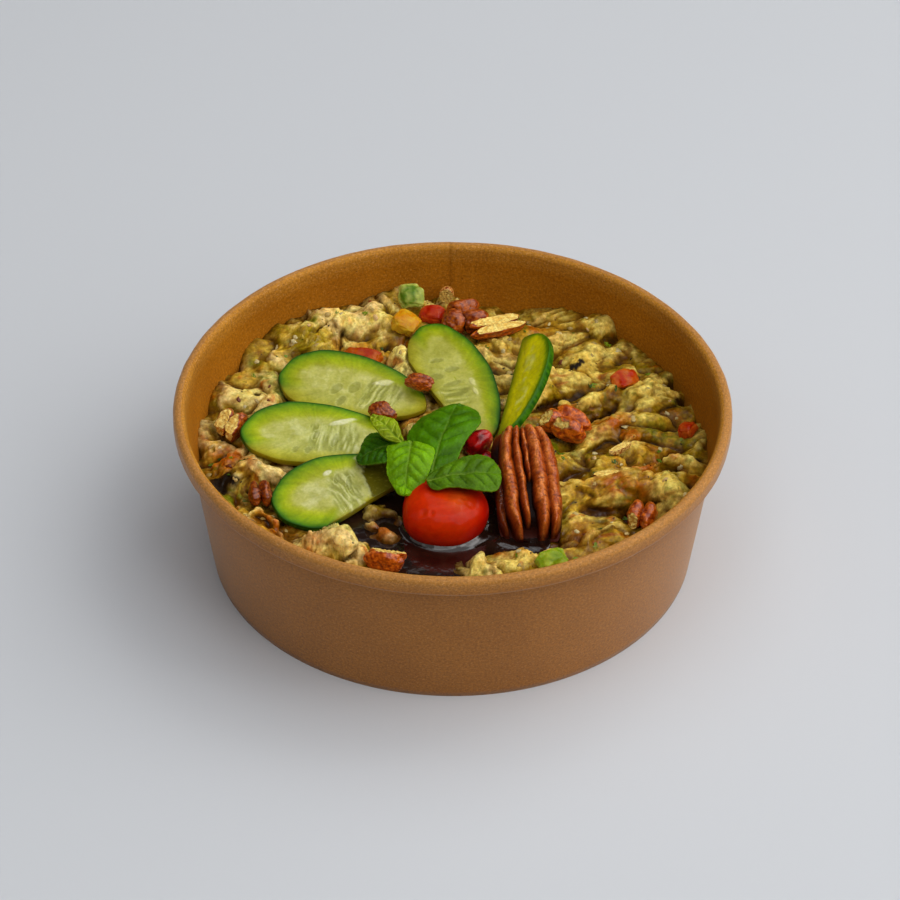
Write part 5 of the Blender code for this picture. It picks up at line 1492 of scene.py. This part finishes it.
def dip(laid, paint):
    """Chunky mash over the CAD's swells, bedded under the garnish and soaked from the pool."""
    unit_x, unit_y = square_to_disc(DIP_CELLS)
    edge = wall_inside(30.0) + 0.02
    x, y = unit_x * edge, unit_y * edge
    shape = x.shape
    cad = tree_of([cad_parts["dip"]])
    over = tree_of(laid)
    down, up = Vector((0.0, 0.0, -1.0)), Vector((0.0, 0.0, 1.0))
    inner = 0.986
    macro = np.zeros(shape)
    ceiling = np.full(shape, 99.0)
    for i in range(shape[0]):
        for j in range(shape[1]):
            hit = cad.ray_cast(Vector((x[i, j] * inner, y[i, j] * inner, 60.0)), down)[0]
            macro[i, j] = hit.z if hit else 28.0
            over_hit = over.ray_cast(Vector((x[i, j], y[i, j], 20.0)), up)[0]
            if over_hit:
                ceiling[i, j] = over_hit.z
    macro = soften(macro, 10) + form_height(x, y, DIP_FORMS)
    flat = np.stack([x, y, macro * 1.3], axis=-1).reshape(-1, 3)
    relief, bent, bend = mash_relief(flat)
    # folds that hang down the front of the two long ridges
    hang = spread((47, -21), flat, 13) + 0.6 * spread((58, -11), flat, 7)
    relief += 1.1 * np.clip(hang, 0.0, 1.0) * (pillows(flat * (1.0, 0.25, 0.0), 3.4, 26) - 0.5)
    lump = relief.reshape(shape)
    slope_x = np.gradient(soften(macro, 6), axis=0)
    slope_y = np.gradient(soften(macro, 6), axis=1)
    step_xx, step_xy = np.gradient(x, axis=0), np.gradient(x, axis=1)
    step_yx, step_yy = np.gradient(y, axis=0), np.gradient(y, axis=1)
    area = step_xx * step_yy - step_xy * step_yx
    area = np.where(np.abs(area) < 1e-6, 1e-6, area)
    gx = (slope_x * step_yy - slope_y * step_yx) / area
    gy = (slope_y * step_xx - slope_x * step_xy) / area
    tilt = np.sqrt(1.0 + gx ** 2 + gy ** 2)
    rim = ease(np.hypot(unit_x, unit_y), 0.93, 1.0)
    lean = bend.reshape(*shape, 3)
    px = x + (0.55 * lean[..., 0] - gx / tilt) * lump * (1.0 - rim)
    py = y + (0.55 * lean[..., 1] - gy / tilt) * lump * (1.0 - rim)
    pz = macro + lump / tilt
    under_garnish = ceiling < 60.0
    pz = np.where(under_garnish & (pz > ceiling - 0.15) & (ceiling - pz > -7.0), ceiling - 0.15, pz)
    pz = np.minimum(pz, 45.0)
    radius = np.hypot(px, py)
    limit = wall_inside(pz) + 0.03
    fitted = limit / np.maximum(radius, 1.0)
    keep = np.where(rim >= 0.999, fitted, np.minimum(1.0, fitted))
    px, py = px * keep, py * keep
    top = np.stack([px, py, pz], axis=-1)
    points = top.reshape(-1, 3)
    hollow = (soften(pz, 10) - pz).reshape(-1)
    valley = np.clip(soften(pz, 260) - pz, -1.6, 2.0)
    deep = (soften(pz, 60) - pz + 0.55 * valley).reshape(-1)
    colour, wet = dip_colours(points, flat, hollow, deep, bent)
    # the sides and the bottom
    n = DIP_CELLS + 1
    ring = [i * n for i in range(n)] + [(n - 1) * n + j for j in range(1, n)]
    ring += [i * n + n - 1 for i in range(n - 2, -1, -1)] + [j for j in range(n - 2, 0, -1)]
    bottom_z = FLOOR_TOP + GAP
    way = points[ring][:, :2] / np.linalg.norm(points[ring][:, :2], axis=1, keepdims=True)
    skirt = np.column_stack([way * (wall_inside(bottom_z) - 0.05), np.full(len(ring), bottom_z)])
    centre = np.array([[0.0, 0.0, bottom_z]])
    faces = []
    for i in range(n - 1):
        for j in range(n - 1):
            faces.append([i * n + j, (i + 1) * n + j, (i + 1) * n + j + 1, i * n + j + 1])
    start = n * n
    for k in range(len(ring)):
        after = (k + 1) % len(ring)
        faces.append([ring[after], ring[k], start + k, start + after])
        faces.append([start + after, start + k, start + len(ring)])
    all_points = np.concatenate([points, skirt, centre])
    side_colour = np.broadcast_to(DIP_BASE, (len(ring) + 1, 3))
    values = {
        "paint": np.concatenate([colour, side_colour]),
        "wet": np.concatenate([wet, np.full(len(ring) + 1, 0.4)]),
    }
    return piece("dip_mash", all_points, faces, paint, values, ["dip"])


# ---- pool -------------------------------------------------------------------------------------
POOL_REACH = [(0, 27.0), (40, 19.0), (100, 19.0), (168, 30.0), (218, 24.0), (262, 24.0), (300, 21.0), (338, 30.0)]
PECAN_FOOT = (21.2, -37.2)


def pool_reach(degrees):
    """How far the pool runs from the tomato's middle, well into the mash, by direction."""
    stops = [angle for angle, _ in POOL_REACH] + [360]
    reach = [value for _, value in POOL_REACH] + [POOL_REACH[0][1]]
    return np.interp(degrees, stops, reach)


def molasses_pool(paint):
    """Thin dark pool that climbs a little where it meets the tomato."""
    rows, columns = 60, 200
    turns = np.arange(columns) * math.tau / columns
    far = soften(np.tile(pool_reach(np.degrees(turns)), (3, 1)), 20)[1]
    inner = 0.91 * TOMATO_RADIUS
    share = np.linspace(0.0, 1.0, rows)[:, None] ** 1.7
    radius = inner + (far[None, :] - inner) * share
    # the film is broadest towards the pecan
    broad = 0.85 + 0.75 * np.exp(-((np.degrees(turns) - 308.0) / 44.0) ** 2)
    climb = 1.3 * np.exp(-((radius - inner) / broad) ** 1.5)
    x = TOMATO_CENTRE[0] + radius * np.cos(turns)
    y = TOMATO_CENTRE[1] + radius * np.sin(turns)
    climb += 0.5 * np.exp(-((np.hypot((x - PECAN_FOOT[0]) / 8.2, (y - PECAN_FOOT[1]) / 2.6) - 1.0) / 0.22) ** 2)
    flat = np.stack([x, y, np.zeros_like(x)], axis=-1).reshape(-1, 3)
    skin = 0.05 * smooth_noise(flat, 9.0, 41).reshape(x.shape)
    top = np.stack([x, y, POOL_LEVEL + climb + skin], axis=-1)
    under = top[::-1].copy()
    under[..., 2] = POOL_LEVEL - POOL_DEPTH
    points = np.concatenate([top, under]).reshape(-1, 3)
    faces = grid_faces(2 * rows, columns, closed_rows=True)
    return piece("molasses_gloss", points, faces, paint, replaces=["molasses_pool"])


# ---- scattered bits ---------------------------------------------------------------------------
def surface_at(tree, x, y):
    """Point and upward normal of the mash under (x, y)."""
    hit, normal, _, _ = tree.ray_cast(Vector((x, y, 60.0)), Vector((0.0, 0.0, -1.0)))
    if hit is None:
        return None, None
    if normal.z < 0.0:
        normal.negate()
    return np.array(hit), np.array(normal)


def laid_axes(normal, heading):
    """Axes of a bit that lies on a slope: along its heading, across it, and out of the surface."""
    way = np.array([math.cos(heading), math.sin(heading), 0.0])
    way -= normal * way.dot(normal)
    way /= np.linalg.norm(way)
    return np.array([way, np.cross(normal, way), normal])


def flake(rng, size, thickness, curl):
    """Local points of a torn, curled leaf flake."""
    rows, columns = 9, 14
    u = np.linspace(0.03, 0.97, rows)[:, None]
    v = np.linspace(-1.0, 1.0, columns // 2)[None, :]
    half = 0.5 * size * rng.uniform(0.35, 0.8) * np.sin(math.pi * u ** rng.uniform(0.7, 1.3)) ** 0.7
    half = half * (1.0 + 0.25 * np.sin(u * rng.uniform(9, 22) + rng.uniform(0, 6)))
    x = size * (u - 0.5) + 0.0 * v
    y = half * v
    z = curl * size * (0.5 * v * v * np.abs(half) / size + (u - 0.5) ** 2 * rng.uniform(-1.0, 1.0))
    z = z + 0.05 * size * np.sin(u * 14.0 + v * 3.0)
    upper = np.stack([x, y, z + thickness], axis=-1)
    lower = np.stack([x, y, z], axis=-1)[:, ::-1]
    return np.concatenate([upper, lower], axis=1)


def crumb(rng, size):
    """Local points of an angular crumb."""
    way = ball(8, 10)
    flat = way.reshape(-1, 3)
    bulk = 1.0 + 0.45 * smooth_noise(flat + rng.uniform(0, 40), 0.8, 1)
    local = flat * (0.5 * bulk)[:, None] * np.array(size)
    return local.reshape(way.shape)


def scatter(name, paint, tree, chosen, shape, colours, sink=0.3, wet=0.4):
    """Lay one kind of small bit over the mash and join it all into one piece."""
    parts = []
    for x, y, size, heading, rng in chosen:
        hit, normal = surface_at(tree, x, y)
        if hit is None:
            continue
        rings = shape(rng, size)
        axes = laid_axes(normal, heading)
        placed = hit + (rings - np.array([0.0, 0.0, sink * size * 0.3])) @ axes
        points, faces = tube(placed)
        tone = np.array(colours[rng.integers(len(colours))]) * rng.uniform(0.8, 1.2)
        values = {"paint": np.broadcast_to(tone, points.shape).copy(), "wet": np.full(len(points), wet)}
        parts.append((points, faces, values))
    points, faces, values = joined(parts)
    return piece(name, points, faces, paint, values)


def random_places(seed, count, sizes, clear=None):
    """Seeded places over the dip, away from the garnish that `clear` lists."""
    rng = np.random.default_rng(seed)
    found = []
    while len(found) < count:
        radius = 67.0 * math.sqrt(rng.random())
        angle = rng.uniform(0.0, math.tau)
        x, y = radius * math.cos(angle), radius * math.sin(angle)
        heading = rng.uniform(0.0, math.tau)
        size = rng.uniform(*sizes)
        if clear is None or clear(x, y):
            found.append((x, y, size, heading, np.random.default_rng(seed * 1000 + len(found))))
    return found


# ---- stage ------------------------------------------------------------------------------------
def floor():
    mesh = bpy.data.meshes.new("studio_floor")
    reach = 4.0
    corners = [(-reach, -reach, 0.0), (reach, -reach, 0.0), (reach, reach, 0.0), (-reach, reach, 0.0)]
    mesh.from_pydata(corners, [], [(0, 1, 2, 3)])
    paint = Paint("studio_floor", {"Base Color": (0.655, 0.675, 0.71), "Roughness": 0.75, "Specular IOR Level": 0.2})
    mesh.materials.append(paint.material)
    made = bpy.data.objects.new("studio_floor", mesh)
    bpy.context.collection.objects.link(made)


LIGHT_DISTANCE = 1.5
# degrees round the bowl from its right, degrees up, width, height in metres, watts, colour
LIGHTS = {
    "right": (0, 42, 1.0, 1.5, 8.8, (1.0, 0.985, 0.96)),
    "right_front": (318, 44, 0.9, 1.4, 6.2, (1.0, 0.99, 0.97)),
    "right_back": (42, 42, 0.9, 1.4, 5.3, (1.0, 0.99, 0.97)),
    "front": (270, 58, 1.1, 0.9, 3.5, (0.98, 0.99, 1.0)),
    "left_front": (225, 58, 0.9, 0.9, 1.1, (0.96, 0.98, 1.0)),
    "left": (190, 30, 0.9, 1.2, 1.3, (1.0, 0.97, 0.92)),
    "overhead": (0, 90, 1.2, 1.2, 3.7, (0.96, 0.98, 1.0)),
    "back": (90, 60, 1.0, 0.8, 2.0, (0.96, 0.98, 1.0)),
}


def area_light(name, azimuth, height, size, power, colour):
    """Soft panel that faces the bowl from a direction."""
    light = bpy.data.lights.new(name, "AREA")
    light.shape = "RECTANGLE"
    light.size, light.size_y = size
    light.energy = power
    light.color = colour
    azimuth, height = math.radians(azimuth), math.radians(height)
    way = Vector((math.cos(height) * math.cos(azimuth), math.cos(height) * math.sin(azimuth), math.sin(height)))
    made = bpy.data.objects.new(name, light)
    made.location = LIGHT_DISTANCE * way
    made.rotation_euler = (Vector((0.0, 0.0, 0.02)) - made.location).to_track_quat("-Z", "Y").to_euler()
    bpy.context.collection.objects.link(made)


def studio():
    scene = bpy.context.scene
    world = bpy.data.worlds.new("studio")
    scene.world = world
    world.use_nodes = True
    background = world.node_tree.nodes["Background"]
    background.inputs["Color"].default_value = (0.94, 0.96, 1.0, 1.0)
    background.inputs["Strength"].default_value = 0.035
    for name, (azimuth, height, wide, tall, power, colour) in LIGHTS.items():
        area_light(name, azimuth, height, (wide, tall), power, colour)
    scene.view_settings.view_transform = "Standard"


def camera():
    """Camera at the photograph's angle: 38 degrees up, from the front, with a long lens."""
    elevation = math.radians(38.264)
    target = Vector((-0.000653, 0.0, 0.030996))
    place = target + 1.2732 * Vector((0.0, -math.cos(elevation), math.sin(elevation)))
    look = (target - place).to_track_quat("-Z", "Y").to_matrix().to_4x4()
    look = look @ Matrix.Rotation(math.radians(0.333), 4, "Z")
    look.translation = place
    data = bpy.data.cameras.new("camera")
    data.sensor_width = 36.0
    data.lens = 188.412
    data.clip_end = 20.0
    made = bpy.data.objects.new("camera", data)
    made.matrix_world = look
    bpy.context.collection.objects.link(made)
    bpy.context.scene.camera = made


# ---- the whole --------------------------------------------------------------------------------
def main():
    kraft = [srgb(170, 107, 36), srgb(160, 99, 31), srgb(202, 146, 78)]
    coated = [srgb(178, 111, 20), srgb(162, 98, 16), srgb(208, 146, 60)]
    outside = kraft_paint("kraft_outside", *kraft, 0.48, 1.5, 0.22, 0.26, (43.4, 46.4, (1.24, 1.46, 2.3)))
    inside = kraft_paint("kraft_inside", *coated, 0.50, 2.6, 0.10, 0.0, (41.6, 45.8, (1.26, 1.52, 3.8)))
    bowl_wall(outside, inside)
    bowl_floor(outside)
    cucumber, mint, pecan = cucumber_paint(), mint_paint(), pecan_paint()
    wet_skin = glossy_paint("pepper_flesh", (1.0, 0.5, 0.1), 0.0012)
    garnish = [cucumber_slice(name, k, cucumber) for k, name in enumerate(CUCUMBER_SLICES)]
    garnish.append(leaning_slice("cucumber_slice_5", 5, cucumber))
    garnish.append(tomato_half(glossy_paint("tomato_skin", (1.0, 0.2, 0.04), 0.002, 0.40, 0.015, 2.0)))
    garnish.append(pecan_half(pecan))
    nuts = [pecan_piece(name, k, pecan) for k, name in enumerate(PECAN_PIECES)]
    laid = garnish + [nut for nut in nuts if nut.name.removesuffix("_broken") not in BURIED_PIECES]
    garnish += nuts + [pepper_dice(name, k, wet_skin) for k, name in enumerate(PEPPER_DICE)]
    aril = glossy_paint("pomegranate_flesh", (1.0, 0.15, 0.1), 0.002, 0.10, 0.03)
    arils = [pomegranate_aril(name, k, aril) for k, name in enumerate(ARILS)]
    garnish += arils
    for number, name in enumerate(MINT_LEAVES):
        mint_leaf(name, number, mint)
    mint_stem(mint)
    molasses_pool(molasses_paint())
    mash = dip(laid + arils, dip_paint())
    tree = tree_of([mash])
    cover = tree_of(garnish)

    def clear(x, y):
        if cover.ray_cast(Vector((x, y, 60.0)), Vector((0.0, 0.0, -1.0)))[0] is not None:
            return False
        return math.hypot(x - TOMATO_CENTRE[0], y - TOMATO_CENTRE[1]) > 21.0

    herb = dry_paint("herb", 0.4)
    greens = [srgb(84, 112, 6), srgb(116, 138, 14), srgb(60, 84, 4)]
    scatter("herb_flakes", herb, tree, random_places(5, 70, (1.0, 2.6), clear),
            lambda rng, size: flake(rng, size, 0.12, 0.5), greens, 0.1)
    crumbs = dry_paint("crumbs", 0.5)
    scatter("charred_specks", crumbs, tree, random_places(6, 170, (0.3, 0.8), clear),
            lambda rng, size: crumb(rng, (size, size * 0.7, size * 0.5)),
            [srgb(30, 22, 10), srgb(58, 40, 18)])
    scatter("aubergine_seeds", crumbs, tree, random_places(7, 160, (1.2, 2.2), clear),
            lambda rng, size: crumb(rng, (size, size * 0.75, size * 0.4)),
            [srgb(196, 172, 108), srgb(170, 142, 76), srgb(206, 190, 136)])
    scatter("nut_crumbs", crumbs, tree, random_places(8, 40, (0.8, 2.4), clear),
            lambda rng, size: crumb(rng, (size, size * 0.7, size * 0.6)),
            [srgb(150, 84, 36), srgb(214, 176, 116), srgb(112, 52, 20)])
    floor()
    studio()
    camera()


main()
